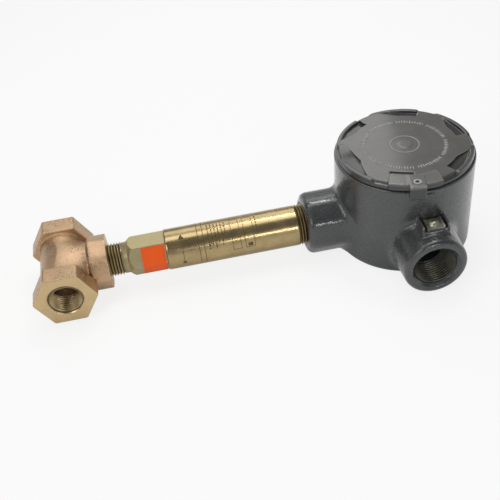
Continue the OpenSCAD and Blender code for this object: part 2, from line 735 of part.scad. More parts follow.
module junction_box() color([0.3, 0.31, 0.32]) {
    difference() {
        union() {
            difference() {
                union() {
                    translate([box_x, axis_y, 0]) box_shell();
                    body_hub();
                    conduit_hub();
                }
                translate([0, -over - ground_ledge, 0]) ground_pad(ground_pad_h, pad_t);
            }
            ground_pad(ground_pad_h - pad_t, pad_t);
        }
        translate([box_x, axis_y, 0]) box_cavity();
        along_x(hub_face_x - over) cylinder(r = hub_thread_r + thread_fit, h = hub_thread_l + over);
        along_x(hub_face_x) cylinder(r = wire_way_r, h = body_hub_reach);
        along_y(box_x, conduit_y - over) cylinder(r = hub_thread_r + thread_fit, h = hub_thread_l + over);
        along_y(box_x, conduit_y) cylinder(r = wire_way_r, h = conduit_reach);
        translate([ground_x, ground_y, ground_pad_h - ground_hole_l])
            cylinder(r = ground_screw_r + seat, h = ground_hole_l + over);
    }
    translate([box_x, axis_y + inner_screw_reach, floor_z]) difference() {
        cylinder(r = inner_boss_r, h = inner_boss_h);
        cylinder(r = ground_screw_r + seat, h = inner_boss_h + over);
    }
}

// Point at a radius and an angle
function polar(r, a) = r * [cos(a), sin(a)];

// Ring sector between two radii and two heights, from one angle to another
module sector(r0, r1, z0, z1, a0, a1) {
    translate([0, 0, z0]) intersection() {
        difference() {
            cylinder(r = r1, h = z1 - z0);
            translate([0, 0, -over]) cylinder(r = r0, h = z1 - z0 + 2 * over);
        }
        translate([0, 0, -over]) linear_extrude(z1 - z0 + 2 * over)
            polygon([[0, 0], polar(2 * r1, a0), polar(2 * r1, (a0 + a1) / 2), polar(2 * r1, a1)]);
    }
}

// Pocket that starts at a steep end wall and runs out toward the rim
module pocket(a) {
    past_r = plateau_r + pocket_past;
    translate([0, 0, flange_top_z]) linear_extrude(cover_t)
        polygon(concat(arc(0, 0, pocket_r, a, a + pocket_a * pocket_flat_share),
            [polar(plateau_r, a + pocket_a), polar(past_r, a + pocket_a * (1 + pocket_past_share)),
                polar(past_r, a + pocket_a / 2), polar(past_r, a)]));
}

module cover() color([0.34, 0.35, 0.36]) translate([box_x, axis_y, 0]) difference() {
    union() {
        translate([0, 0, flange_z]) cylinder(r = flange_r, h = flange_t);
        difference() {
            translate([0, 0, flange_z]) cylinder(r = plateau_r, h = cover_t);
            for (i = [0:pocket_n - 1]) if (i != lug_place)
                pocket(pocket_start_a + 360 * i / pocket_n);
            rotate([0, 0, lug_a - block_gap_a / 2])
                translate([block_slot_r - block_slot_w, -block_slot_l / 2, top_z - slot_depth])
                    cube([block_slot_w, block_slot_l, slot_depth + over]);
        }
        for (i = [0:pocket_n - 1]) if (i != lug_place)
            let (a = pocket_start_a + 360 * i / pocket_n)
                sector(pocket_rim_in_r, pocket_rim_out_r, flange_z + rim_foot, flange_top_z + pocket_rim_h,
                    a - rim_lap_a, a + pocket_a + rim_lap_a);
        for (s = [-1, 1])
            let (a = lug_a + s * block_gap_a * block_share)
                sector(pocket_r, block_r, flange_z + rim_foot, lug_top_z - block_drop,
                    a - block_a / 2, a + block_a / 2);
        rotate([0, 0, lug_a]) translate([lug_in_r, -lug_w / 2, flange_z])
            cube([lug_r - lug_in_r, lug_w, lug_h]);
        rotate([0, 0, lug_a]) translate([box_r + lug_wall_gap, -lug_w / 2, rim_h - lug_drop])
            cube([lug_r - box_r - lug_wall_gap, lug_w, lug_drop + over]);
        translate([0, 0, seal_seat_z - over])
            cylinder(r = skirt_relief_r, h = flange_z - seal_seat_z + 2 * over);
        translate([0, 0, thread_end_z])
            thread(cover_thread_r, cover_thread_depth, cover_pitch, seal_seat_z - over / 2 - thread_end_z);
    }
    translate([0, 0, thread_end_z - over])
        cylinder(r = cover_in_r, h = top_z - cover_skin_t - thread_end_z + over);
    rotate([0, 0, lug_a]) translate([lock_r, 0, 0]) {
        translate([0, 0, flange_z - over]) cylinder(r = lock_point_r + seat, h = lug_h);
        translate([0, 0, lock_shoulder_z]) cylinder(r = lock_screw_r + seat, h = lug_h);
    }
}

module cover_o_ring() color([0.1, 0.1, 0.1]) translate([box_x, axis_y, seal_z])
    rotate_extrude() translate([seal_centre_r, 0]) circle(r = seal_r, $fn = 32);

module cover_lock_screw() color([0.2, 0.2, 0.21]) translate([box_x, axis_y, 0]) rotate([0, 0, lug_a])
    translate([lock_r, 0, 0]) difference() {
        union() {
            translate([0, 0, lock_point_z])
                cylinder(r = lock_point_r, h = lock_shoulder_z - lock_point_z + over);
            translate([0, 0, lock_shoulder_z + seat])
                cylinder(r = lock_screw_r, h = lug_top_z + lock_proud - lock_shoulder_z - seat);
        }
        translate([0, 0, lug_top_z + lock_proud - lock_socket_h])
            cylinder(r = lock_socket_r / cos(30), h = lock_socket_h + over, $fn = 6);
    }

module ground_screw() color([0.78, 0.77, 0.74])
    translate([ground_x, ground_y, ground_pad_h + clamp_t + seat])
        slotted_screw(ground_screw_r, ground_hole_l + clamp_t - screw_end_gap, ground_head_r, ground_head_h);

module ground_clamp() color([0.7, 0.69, 0.66]) translate([ground_x, ground_y, ground_pad_h]) difference() {
    union() {
        translate([-clamp_w / 2, -clamp_l / 2, 0]) cube([clamp_w, clamp_l, clamp_t]);
        for (x = [-clamp_w / 2, clamp_w / 2 - clamp_t])
            translate([x, -clamp_l / 2, 0]) cube([clamp_t, clamp_l, clamp_leg_h]);
    }
    translate([0, 0, -over]) cylinder(r = ground_screw_r + seat, h = clamp_t + 2 * over);
}

module inner_ground_screw() color([0.3, 0.6, 0.3])
    translate([box_x, axis_y + inner_screw_reach, floor_z + inner_boss_h])
        slotted_screw(ground_screw_r, inner_boss_h - screw_end_gap, ground_head_r, ground_head_h);

tee();
lower_body();
body_label();
upper_body();
nameplate_sleeve();
body_seal();
vane();
vane_arm();
vane_screws();
vane_magnet();
pivot_yoke();
vane_pin();
return_spring();
switch_bracket();
switch_lever();
switch_magnet();
lever_pin();
snap_switch();
switch_plunger();
switch_terminals();
switch_screws();
switch_nuts();
switch_leads();
lead_seal();
junction_box();
cover();
cover_o_ring();
cover_lock_screw();
ground_screw();
ground_clamp();
inner_ground_screw();
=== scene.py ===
"""Vane-operated flow switch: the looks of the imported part, in metres, in the CAD frame."""
import json
import math
from functools import reduce

import bpy
import numpy as np
from mathutils import Matrix, Vector


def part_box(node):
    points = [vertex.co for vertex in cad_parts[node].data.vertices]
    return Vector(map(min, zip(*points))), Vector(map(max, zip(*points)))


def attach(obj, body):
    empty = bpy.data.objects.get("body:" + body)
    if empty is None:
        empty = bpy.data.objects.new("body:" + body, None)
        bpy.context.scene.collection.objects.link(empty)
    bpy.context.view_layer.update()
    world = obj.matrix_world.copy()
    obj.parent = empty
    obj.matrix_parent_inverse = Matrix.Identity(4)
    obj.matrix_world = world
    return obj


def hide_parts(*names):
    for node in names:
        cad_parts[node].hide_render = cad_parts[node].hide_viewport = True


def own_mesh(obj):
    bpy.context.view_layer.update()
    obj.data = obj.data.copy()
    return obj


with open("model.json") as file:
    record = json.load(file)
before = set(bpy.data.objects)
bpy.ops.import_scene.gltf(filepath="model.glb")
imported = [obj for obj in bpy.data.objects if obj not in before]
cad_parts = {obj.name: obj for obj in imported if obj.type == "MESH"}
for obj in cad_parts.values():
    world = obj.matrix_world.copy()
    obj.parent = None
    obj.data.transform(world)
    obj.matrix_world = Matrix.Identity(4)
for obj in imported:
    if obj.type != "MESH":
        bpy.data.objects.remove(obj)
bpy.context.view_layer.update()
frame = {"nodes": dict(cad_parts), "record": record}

# Lengths below are millimetres until a mesh is made
MM = 0.001
NODES = frame["nodes"]


def corners(node):
    """Lowest and highest corner of a CAD node in millimetres."""
    return [[c / MM for c in corner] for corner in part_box(node)]


TEE_LO, TEE_HI = corners("tee")
STEM_LO, STEM_HI = corners("lower_body")
TUBE_HI = corners("upper_body")[1]
SLEEVE_LO, SLEEVE_HI = corners("nameplate_sleeve")
SEAL_LO, SEAL_HI = corners("cover_o_ring")
COVER_LO, COVER_HI = corners("cover")
BOX_LO, BOX_HI = corners("junction_box")
CLAMP_LO, CLAMP_HI = corners("ground_clamp")
PORT_R = frame["record"]["mounts"][0]["dims"]["r_mm"]
HUB_BORE_R = frame["record"]["mounts"][2]["dims"]["r_mm"]

# The switch body's axis lies along x at AXIS_Y, and the box's axis stands at BOX_X
RUN = TEE_HI[1] - TEE_LO[1]
AXIS_Y = (TEE_LO[1] + TEE_HI[1]) / 2
BOX_X = (SEAL_LO[0] + SEAL_HI[0]) / 2
BOX_R = BOX_HI[0] - BOX_X

# Both pipe threads, and the outside radius of the half-inch and of the three-quarter-inch one
PITCH, THREAD_DEPTH = 1.814, 1.3
PIPE_R, HUB_R = 10.66, 13.28
# How far the shell of a bore's thread, and the thread's roots, lie outside the bore
SHELL_T, BORE_SEAT = 0.6, 0.15


# Distance fields

def fuse(a, b, k):
    """Union of two fields with a fillet of about k / 1.2."""
    h = np.clip(0.5 + 0.5 * (b - a) / k, 0, 1)
    return b * (1 - h) + a * h - k * h * (1 - h)


def trim(a, b, k):
    """What two fields have in common, with an edge rounded by about k / 1.2."""
    return -fuse(-a, -b, k)


def union(*fields):
    """Union of fields with sharp edges."""
    return reduce(np.minimum, fields)


def common(*fields):
    """What fields have in common, with sharp edges."""
    return reduce(np.maximum, fields)


def rod(p, axis, centre, radius):
    """Distance from a round rod along an axis, through a centre."""
    across = [i for i in range(3) if i != axis]
    return np.sqrt(sum((p[..., i] - centre[i]) ** 2 for i in across)) - radius


def block(p, lo, hi, k):
    """Distance from a box with edges rounded by about k / 1.2."""
    sides = [np.abs(p[..., i] - (lo[i] + hi[i]) / 2) - (hi[i] - lo[i]) / 2 for i in range(3)]
    return trim(trim(sides[0], sides[1], k), sides[2], k)


def prism(u, v, flats, count, turn, k):
    """Distance from a prism with that many flats, in the plane of u and v."""
    turns = [math.radians(turn + 360 * i / count) for i in range(count // 2)]
    sides = [np.abs(u * math.cos(a) + v * math.sin(a)) - flats / 2 for a in turns]
    return reduce(lambda one, other: trim(one, other, k), sides)


def mouth(p, axis, centre, face, sign, radius, chamfer):
    """Field of the countersink of a mouth, whose solid lies on the sign side of its face."""
    depth = (p[..., axis] - face) * sign
    return (rod(p, axis, centre, radius + chamfer) + depth) * math.sqrt(0.5)


# Moving a net onto its surface: rounds, probe as a share of the step, and least squared slope
NET_ROUNDS, PROBE_SHARE, LEAST_SLOPE = 3, 0.1, 0.25


def net(field, lo, hi, step, margin):
    """Points and quads of the surface where a field is zero, moved onto it along its gradient. The
    grid reaches a margin past the corners lo and hi."""
    axes = [np.arange(a - margin, b + margin + step, step) for a, b in zip(lo, hi)]
    value = field(np.stack(np.meshgrid(*axes, indexing="ij"), -1))
    inside = value < 0
    shape = np.array(value.shape) - 1
    total = np.zeros((*shape, 3))
    count = np.zeros(shape)
    for a in np.ndindex(2, 2, 2):
        for axis in range(3):
            if a[axis]:
                continue
            b = tuple(c + (n == axis) for n, c in enumerate(a))
            sa = tuple(slice(c, c + n) for c, n in zip(a, shape))
            sb = tuple(slice(c, c + n) for c, n in zip(b, shape))
            cross = inside[sa] != inside[sb]
            share = np.where(cross, value[sa] / np.where(cross, value[sa] - value[sb], 1), 0)
            for n in range(3):
                total[..., n] += np.where(cross, a[n] + (share if n == axis else 0), 0)
            count += cross
    cell = count > 0
    index = np.full(shape, -1)
    index[cell] = np.arange(cell.sum())
    points = np.array([a[0] for a in axes]) + (np.argwhere(cell) + total[cell] / count[cell][:, None]) * step
    quads = []
    for axis in range(3):
        u, v = (axis + 1) % 3, (axis + 2) % 3
        low = [slice(1, -1)] * 3
        high = [slice(1, -1)] * 3
        low[axis] = slice(0, -1)
        high[axis] = slice(1, None)
        start, end = inside[tuple(low)], inside[tuple(high)]
        for leaving in (True, False):
            hit = np.argwhere((start != end) & (start == leaving))
            quad = []
            for du, dv in ((0, 0), (1, 0), (1, 1), (0, 1)):
                q = hit.copy()
                q[:, u] += du
                q[:, v] += dv
                quad.append(index[tuple(q.T)])
            quads.append(np.stack(quad if leaving else quad[::-1], 1))
    nudge = step * PROBE_SHARE
    for _ in range(NET_ROUNDS):
        slope = np.stack([field(points + e) - field(points - e) for e in np.eye(3) * nudge], -1) / nudge / 2
        length = np.maximum((slope ** 2).sum(-1), LEAST_SLOPE)
        points = points - np.clip(field(points) / length, -step / 2, step / 2)[:, None] * slope
    return points, np.concatenate(quads)


# Meshes and pieces

def new_object(name, data):
    """A new object in the scene."""
    obj = bpy.data.objects.new(name, data)
    bpy.context.scene.collection.objects.link(obj)
    return obj


def piece(name, points, faces, materials, slot, node=None, pick=None, body="housing"):
    """An object from points in millimetres, riding on a body. pick gives each face's material."""
    mesh = bpy.data.meshes.new(name)
    points = np.asarray(points, float) * MM
    mesh.from_pydata(points.tolist(), [], [list(map(int, f)) for f in faces])
    mesh.shade_smooth()
    for m in materials:
        mesh.materials.append(m)
    if pick:
        centre = np.zeros(len(mesh.polygons) * 3)
        mesh.polygons.foreach_get("center", centre)
        mesh.polygons.foreach_set("material_index", pick(centre.reshape(-1, 3) / MM).astype(np.int32))
    mesh.update()
    obj = new_object(name, mesh)
    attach(obj, body)
    if node:
        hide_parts(node)
    return obj


# For each axis of a turned solid: where angles 0 and 90 point, and the axis itself
SIDES = {"X": ((0, 1, 0), (0, 0, 1), (1, 0, 0)), "Y": ((0, 0, 1), (1, 0, 0), (0, 1, 0)),
         "Z": ((1, 0, 0), (0, 1, 0), (0, 0, 1))}


def turned(axis, origin, stations, n=180):
    """Points and faces of a turned solid with n sides. Stations are (distance, radius), and a radius
    may be a function of the angle. A profile that doesn't start on the axis is closed on itself."""
    e1, e2, along = (np.array(v, float) for v in SIDES[axis])
    angle = np.arange(n) * 2 * math.pi / n
    points, rings = [], []
    for distance, radius in stations:
        r = radius(angle) if callable(radius) else np.full(n, float(radius))
        start = len(points)
        if radius == 0:
            points.append(origin + distance * along)
            rings.append([start] * n)
            continue
        ring = origin + distance * along + np.outer(r * np.cos(angle), e1) + np.outer(r * np.sin(angle), e2)
        points.extend(ring)
        rings.append(list(range(start, start + n)))
    faces = []
    closed = stations[0][1] != 0
    pairs = list(zip(rings, rings[1:])) + ([(rings[-1], rings[0])] if closed else [])
    for a, b in pairs:
        for i in range(n):
            j = (i + 1) % n
            face = list(dict.fromkeys((a[i], a[j], b[j], b[i])))
            if len(face) > 2:
                faces.append(face[::-1])
    return np.array(points), faces


# A thread's flank over half a turn, as shares of its depth: its climb, and what the root cuts off
FLANK_SHARE, ROOT_SHARE = 1.15, 0.06
# Distance between the stations of a thread
STATION_STEP = 0.13


def helix(x, core, depth, fade, pitch=PITCH):
    """Radius of a right-hand thread at a distance along its axis, as a function of the angle."""
    def radius(angle):
        phase = (x / pitch - angle / (2 * math.pi)) % 1
        crest = np.clip(FLANK_SHARE * (1 - np.abs(2 * phase - 1)) - ROOT_SHARE, 0, 1)
        return core + depth * fade * crest
    return radius


def thread(x0, x1, core, depth, fade0=0, fade1=0):
    """Stations of a thread that runs out over fade0 and fade1 at its ends."""
    out = []
    for x in np.linspace(x0, x1, int((x1 - x0) / STATION_STEP) + 1):
        fades = [way / fade for way, fade in ((x - x0, fade0), (x1 - x, fade1)) if fade]
        out.append((x, helix(x, core, depth, min([1, *fades]))))
    return out


def bore_thread(name, x, y0, y1, bore, material, slot):
    """The thread in a bore along y, as a shell whose outside lies in the casting."""
    stations = thread(y0, y1, bore + BORE_SEAT, -THREAD_DEPTH)
    stations = [(y0, bore + SHELL_T)] + stations + [(y1, bore + SHELL_T)]
    points, faces = turned("Y", np.array([x, 0, 0.0]), stations)
    piece(name, points, [f[::-1] for f in faces], [material], slot)


# Materials

BLACK, WHITE = (0, 0, 0), (1, 1, 1)


def adder(tree):
    """A helper that adds a node to a tree. It links (source, input) pairs, sets an input that is
    named after in_, and sets any other value on the node itself."""
    def add(kind, links=(), **values):
        node = tree.nodes.new(kind)
        for key, value in values.items():
            if key.startswith("in_"):
                socket = key[3:].replace("_", " ")
                node.inputs[int(socket) if socket.isdigit() else socket].default_value = value
            else:
                setattr(node, key, value)
        for source, target in links:
            tree.links.new(source, node.inputs[target])
        return node

    return add


def new_material(name):
    """A new node material, its tree, its shader and the helper that adds nodes to it."""
    m = bpy.data.materials.new(name)
    m.use_nodes = True
    return m, m.node_tree, m.node_tree.nodes["Principled BSDF"], adder(m.node_tree)


def ramp(add, source, stops):
    """A colour ramp of (position, colour) stops."""
    node = add("ShaderNodeValToRGB", [(source, "Fac")])
    elements = node.color_ramp.elements
    while len(elements) < len(stops):
        elements.new(0.5)
    for element, (position, colour) in zip(elements, stops):
        element.position = position
        element.color = (*colour, 1)
    return node.outputs["Color"]


def tone(colour, factor):
    """A colour scaled by a factor."""
    return tuple(min(1, v * factor) for v in colour)


def span(add, source, low, high, at_low, at_high):
    """A node output that goes from at_low to at_high as its source goes from low to high."""
    return add("ShaderNodeMapRange", [(source, 0)], in_1=low, in_2=high, in_3=at_low, in_4=at_high).outputs[0]


def calc(add, operation, a, b=0):
    """A node output: a calculation with a socket, and with a second one or a number."""
    if isinstance(b, bpy.types.NodeSocket):
        return add("ShaderNodeMath", [(a, 0), (b, 1)], operation=operation).outputs[0]
    return add("ShaderNodeMath", [(a, 0)], operation=operation, in_1=b).outputs[0]


def noise(add, place, size, detail):
    """A node output: noise with a grain of a size in millimetres."""
    return add("ShaderNodeTexNoise", [(place, 0)], in_Scale=1 / (size * MM), in_Detail=detail).outputs[0]


def radius_from(add, place, axis, centre):
    """A node output: the distance from a line along an axis, in metres."""
    parts = add("ShaderNodeSeparateXYZ", [(place, 0)]).outputs
    offs = [calc(add, "SUBTRACT", parts[i], centre[i] * MM) for i in range(3) if i != axis]
    return calc(add, "SQRT", calc(add, "ADD", *(calc(add, "MULTIPLY", off, off) for off in offs)))


def blend(add, tree, factor, a, b):
    """A colour that goes from a to b, each a socket or a colour, by a factor."""
    mix = add("ShaderNodeMix", data_type="RGBA")
    tree.links.new(factor, mix.inputs["Factor"])
    for socket, value in ((mix.inputs[6], a), (mix.inputs[7], b)):
        if isinstance(value, tuple):
            socket.default_value = (*value, 1)
        else:
            tree.links.new(value, socket)
    return mix.outputs[2]


# Ripples in a coat of enamel: size, height and detail
RIPPLE_SIZE, RIPPLE, RIPPLE_DETAIL = 1.1, 0.11, 1.0
# Noise lies mostly between the first and the last of these
NOISE_LOW, NOISE_MIDDLE, NOISE_HIGH = 0.3, 0.5, 0.7
# Fine grain, clouds that are so many grains across, and specks
GRAIN_DETAIL, GRAIN_ROUGH = 6.0, 0.6
CLOUD_DETAIL, CLOUD_GRAINS = 3.0, 14
SPECK_DETAIL, SPECK_EDGE = 2.0, 0.08
# The smoothest that a finish gets
LEAST_ROUGH = 0.02


def surface(name, colour, metallic, rough, scale, bump, spread=0.12, coat=0.0, rough_spread=0.08,
            stretch=(1, 1, 1), coat_rough=0.1, wear_and_edge_highlight=None, crease_shade=None, root_shade=None, speck=None,
            specular=0.5, low=None, ripple=RIPPLE):
    """A finish with colour, roughness and relief that vary. scale is the grain's size in
    millimetres, bump its height in millimetres, and stretch draws it out along an axis. spread is
    how much the colour varies, and ripple the height of a coat's ripples.
    wear_and_edge_highlight and crease_shade are (colour, start, end) of the mesh's pointiness: the first
    makes sharp edges lighter, which is wear on metal and a painted highlight on enamel, and the
    second is a painted shade in hollows and creases. root_shade is (colour, axis, centre, radius of
    the roots, radius of the crests), a painted shade in a thread's roots, speck is (colour, size,
    least noise that shows it), and low is (colour, height where it is full, height where it ends),
    a painted shade below a height."""
    m, tree, shader, add = new_material(name)
    place = add("ShaderNodeTexCoord").outputs["Object"]
    drawn = add("ShaderNodeMapping", [(place, "Vector")], in_Scale=[s / (scale * MM) for s in stretch])
    grain = add("ShaderNodeTexNoise", [(drawn.outputs[0], "Vector")], in_Scale=1.0,
                in_Detail=GRAIN_DETAIL, in_Roughness=GRAIN_ROUGH).outputs[0]
    cloud = noise(add, place, scale * CLOUD_GRAINS, CLOUD_DETAIL)
    mean = calc(add, "MULTIPLY", calc(add, "ADD", grain, cloud), 0.5)
    shade = ramp(add, mean, [(NOISE_LOW, tone(colour, 1 - spread)), (NOISE_MIDDLE, colour),
                             (NOISE_HIGH, tone(colour, 1 + spread))])
    if speck:
        spots = noise(add, place, speck[1], SPECK_DETAIL)
        mask = ramp(add, spots, [(speck[2], BLACK), (speck[2] + SPECK_EDGE, WHITE)])
        shade = blend(add, tree, mask, shade, speck[0])
    # By pointiness: sharp edges lighter (wear, and on enamel a painted highlight), hollows and creases darker
    # (a painted shade)
    for change in (wear_and_edge_highlight, crease_shade):
        if change:
            point = add("ShaderNodeNewGeometry").outputs["Pointiness"]
            stops = sorted([(change[1], BLACK), (change[2], WHITE)])
            shade = blend(add, tree, ramp(add, point, stops), shade, change[0])
    # Painted shade in a thread's roots: darker towards the roots' radius
    if root_shade:
        away = radius_from(add, place, root_shade[1], root_shade[2])
        share = span(add, away, root_shade[3] * MM, root_shade[4] * MM, 1, 0)
        shade = blend(add, tree, share, shade, root_shade[0])
    # Painted shade below a height: darker on whatever lies lower
    if low:
        height = add("ShaderNodeSeparateXYZ", [(place, 0)]).outputs["Z"]
        share = span(add, height, low[1] * MM, low[2] * MM, 1, 0)
        shade = blend(add, tree, share, shade, low[0])
    tree.links.new(shade, shader.inputs["Base Color"])
    vary = span(add, mean, NOISE_LOW, NOISE_HIGH, max(LEAST_ROUGH, rough - rough_spread),
                min(1, rough + rough_spread))
    tree.links.new(vary, shader.inputs["Roughness"])
    for key, value in (("Metallic", metallic), ("Specular IOR Level", specular), ("Coat Weight", coat),
                       ("Coat Roughness", coat_rough)):
        shader.inputs[key].default_value = value
    relief = add("ShaderNodeBump", [(grain, "Height")], in_Strength=1.0, in_Distance=bump * MM)
    tree.links.new(relief.outputs[0], shader.inputs["Normal"])
    if coat:
        swell = noise(add, place, RIPPLE_SIZE, RIPPLE_DETAIL)
        skin = add("ShaderNodeBump", [(swell, "Height")], in_Strength=1.0, in_Distance=ripple * MM)
        tree.links.new(skin.outputs[0], shader.inputs["Coat Normal"])
    return m


# Points on the axes of the switch body and of the conduit hub
BODY_LINE = (0, AXIS_Y, 0)
HUB_LINE = (BOX_X, 0, 0)
# Radii between which the painted shade in a bore's thread roots fades
PORT_ROOT_R, PORT_CREST_R = 10.7, 9.8
HUB_ROOT_R, HUB_CREST_R = 13.2, 12.3
# How far inside the crests the painted shade in a male thread's roots ends
STEM_CREST, TUBE_CREST = 0.4, 0.15
# Colours of the painted shade in the thread roots
ROOT_SHADE = (0.07, 0.055, 0.03)
BORE_ROOT_SHADE = (0.04, 0.032, 0.018)
HUB_ROOT_SHADE = (0.01, 0.01, 0.009)

# Cast bronze: lighter on sharp edges (wear), with a painted shade in its hollows and creases
CAST = surface("cast_bronze", (0.6, 0.405, 0.245), 0.9, 0.3, 0.8, 0.34, spread=0.34,
               wear_and_edge_highlight=((0.9, 0.7, 0.48), 0.53, 0.6), crease_shade=((0.16, 0.1, 0.055), 0.48, 0.43),
               speck=((0.8, 0.58, 0.38), 0.7, 0.64))
MACHINED = surface("machined_bronze", (0.66, 0.49, 0.265), 0.95, 0.3, 0.5, 0.012, spread=0.1)
DULL = surface("dull_brass", (0.46, 0.39, 0.215), 0.7, 0.4, 0.8, 0.03, spread=0.12,
               wear_and_edge_highlight=((0.66, 0.56, 0.34), 0.54, 0.62))
# The threads carry a painted shade in their roots
STEM_THREADS = surface("stem_thread_brass", (0.6, 0.5, 0.3), 0.95, 0.34, 0.4, 0.01, spread=0.2,
                       root_shade=(ROOT_SHADE, 0, BODY_LINE, PIPE_R - THREAD_DEPTH, PIPE_R - STEM_CREST))
TUBE_THREADS = surface("tube_thread_brass", (0.44, 0.34, 0.18), 0.95, 0.34, 0.4, 0.01, spread=0.2,
                       root_shade=(ROOT_SHADE, 0, BODY_LINE, HUB_R - THREAD_DEPTH, HUB_R - TUBE_CREST))
PORT_THREADS = surface("port_thread_bronze", (0.56, 0.42, 0.22), 0.95, 0.28, 0.5, 0.01, spread=0.15,
                       root_shade=(BORE_ROOT_SHADE, 1, (0, 0, 0), PORT_ROOT_R, PORT_CREST_R))
HUB_THREADS = surface("hub_thread_metal", (0.13, 0.125, 0.095), 0.7, 0.3, 0.5, 0.03, spread=0.4,
                      root_shade=(HUB_ROOT_SHADE, 1, HUB_LINE, HUB_ROOT_R, HUB_CREST_R))
BRIGHT = surface("bright_brass", (0.46, 0.35, 0.18), 1.0, 0.25, 0.5, 0.012, spread=0.2,
                 stretch=(0.06, 1, 1), rough_spread=0.06)
ETCH = surface("etched_marks", (0.15, 0.105, 0.055), 0.6, 0.5, 0.3, 0.01, spread=0.5)
LABEL = surface("orange_film", (1.0, 0.125, 0.012), 0.0, 0.55, 1.2, 0.02, spread=0.06, specular=0.25)
# Hammered enamel: a painted highlight on its sharp edges and a painted shade in its creases
ENAMEL = surface("hammered_enamel", (0.041, 0.044, 0.045), 0.0, 0.26, 1.1, 0.3, spread=0.25,
                 coat=1.0, coat_rough=0.06, wear_and_edge_highlight=((0.2, 0.2, 0.195), 0.53, 0.6),
                 crease_shade=((0.014, 0.014, 0.014), 0.48, 0.42))
# Cover enamel: a painted highlight on its edges and ticks, a painted shade in its creases, and a painted
# shade on all that lies lower than the plateau
COVER_PAINT = surface("cover_enamel", (0.135, 0.132, 0.118), 0.0, 0.36, 0.6, 0.09, spread=0.2,
                      coat=1.0, coat_rough=0.08, ripple=0.03, wear_and_edge_highlight=((0.42, 0.42, 0.4), 0.52, 0.57),
                      crease_shade=((0.008, 0.008, 0.008), 0.49, 0.45),
                      low=((0.016, 0.016, 0.015), 47.4, 48.8))
STEEL = surface("plated_steel", (0.62, 0.6, 0.5), 1.0, 0.36, 0.5, 0.03, spread=0.2)
STAINLESS = surface("stainless", (0.55, 0.55, 0.56), 1.0, 0.3, 0.6, 0.005, spread=0.08)
GREEN = surface("green_steel", (0.05, 0.25, 0.08), 0.7, 0.35, 0.5, 0.006)
RUBBER = surface("seal_rubber", (0.012, 0.012, 0.012), 0.0, 0.55, 0.5, 0.01)
MAGNET = surface("magnet_ceramic", (0.05, 0.05, 0.055), 0.0, 0.5, 0.4, 0.01)
BLACK_PLASTIC = surface("case_plastic", (0.018, 0.018, 0.02), 0.0, 0.45, 0.5, 0.01)
RED_PLASTIC = surface("plunger_plastic", (0.45, 0.02, 0.015), 0.0, 0.4, 0.4, 0.005)
INSULATION = surface("lead_insulation", (0.02, 0.02, 0.025), 0.0, 0.4, 0.4, 0.005)
POTTING = surface("potting", (0.03, 0.027, 0.022), 0.0, 0.3, 1.0, 0.02)


# Tee: hexagon ends, barrels, the eight-sided band at the branch's end, ports and ways

HEX_AF, HEX_T = 35.3, 12.4
BARREL_R, BARREL_INSET = 15, 1
BRANCH_R = BARREL_R - 0.3
BRANCH_X = TEE_HI[0]
BAND_AF, BAND_R, BAND_L = 33.8, 17.6, 12
PORT_L, PORT_CHAMFER = 14, 0.9
WAY_R = 9.5
# Roundings
HEX_CORNER_K, HEX_GAP_K, HEX_BACK_K, HEX_FACE_K, HEX_ROOT_K = 0.8, 0.5, 1.2, 0.45, 1.3
BRANCH_ROOT_K = 5
BAND_CORNER_K, BAND_CLIP_K, BAND_BACK_K, BAND_FACE_K, BAND_ROOT_K = 1.0, 0.6, 1.6, 0.5, 0.9
# Step and margin of the net's grid
TEE_STEP, NET_MARGIN = 0.45, 2
# Ends of a port's thread, from its mouth
PORT_THREAD = 0.7, PORT_L - 0.2
# How deep under a cut face the finish counts as machined
CUT_DEPTH = 0.12


def tee_field(p):
    """Field of the tee's casting, with its ports and ways."""
    x, y, z = p[..., 0], p[..., 1], p[..., 2]
    centre = (0, AXIS_Y, 0)
    gap = trim(HEX_T - y, y - (RUN - HEX_T), HEX_GAP_K)
    ends = trim(prism(x, z, HEX_AF, 6, 90, HEX_CORNER_K), -gap, HEX_BACK_K)
    ends = trim(ends, common(-y, y - RUN), HEX_FACE_K)
    run = common(rod(p, 1, centre, BARREL_R), BARREL_INSET - y, y - RUN + BARREL_INSET)
    branch = common(rod(p, 0, centre, BRANCH_R), -x, x - BRANCH_X + BARREL_INSET)
    band = prism(y - AXIS_Y, z, BAND_AF, 8, 22.5, BAND_CORNER_K)
    band = trim(band, rod(p, 0, centre, BAND_R), BAND_CLIP_K)
    band = trim(band, BRANCH_X - BAND_L - x, BAND_BACK_K)
    band = trim(band, x - BRANCH_X, BAND_FACE_K)
    d = fuse(run, branch, BRANCH_ROOT_K)
    d = fuse(d, ends, HEX_ROOT_K)
    d = fuse(d, band, BAND_ROOT_K)
    hollow = union(common(rod(p, 1, centre, PORT_R), union(y - PORT_L, RUN - PORT_L - y)),
                   common(rod(p, 0, centre, PORT_R), BRANCH_X - PORT_L - x),
                   rod(p, 1, centre, WAY_R), common(rod(p, 0, centre, WAY_R), -x))
    for axis, face, sign in ((1, 0, 1), (1, RUN, -1), (0, BRANCH_X, -1)):
        hollow = union(hollow, mouth(p, axis, centre, face, sign, PORT_R, PORT_CHAMFER))
    return common(d, -y, y - RUN, x - BRANCH_X, -hollow)


def machined_face(c):
    """One for the faces that a cutter has touched on the tee, by their centres."""
    x, y, z = c.T
    cut_r = PORT_R + PORT_CHAMFER
    ends = (y < CUT_DEPTH) | (y > RUN - CUT_DEPTH) | (x > BRANCH_X - CUT_DEPTH)
    bore = (np.hypot(x, z) < cut_r) & (np.abs(y - AXIS_Y) > BARREL_R)
    socket = (np.hypot(y - AXIS_Y, z) < cut_r) & (x > BRANCH_X - PORT_L)
    return ends | bore | socket


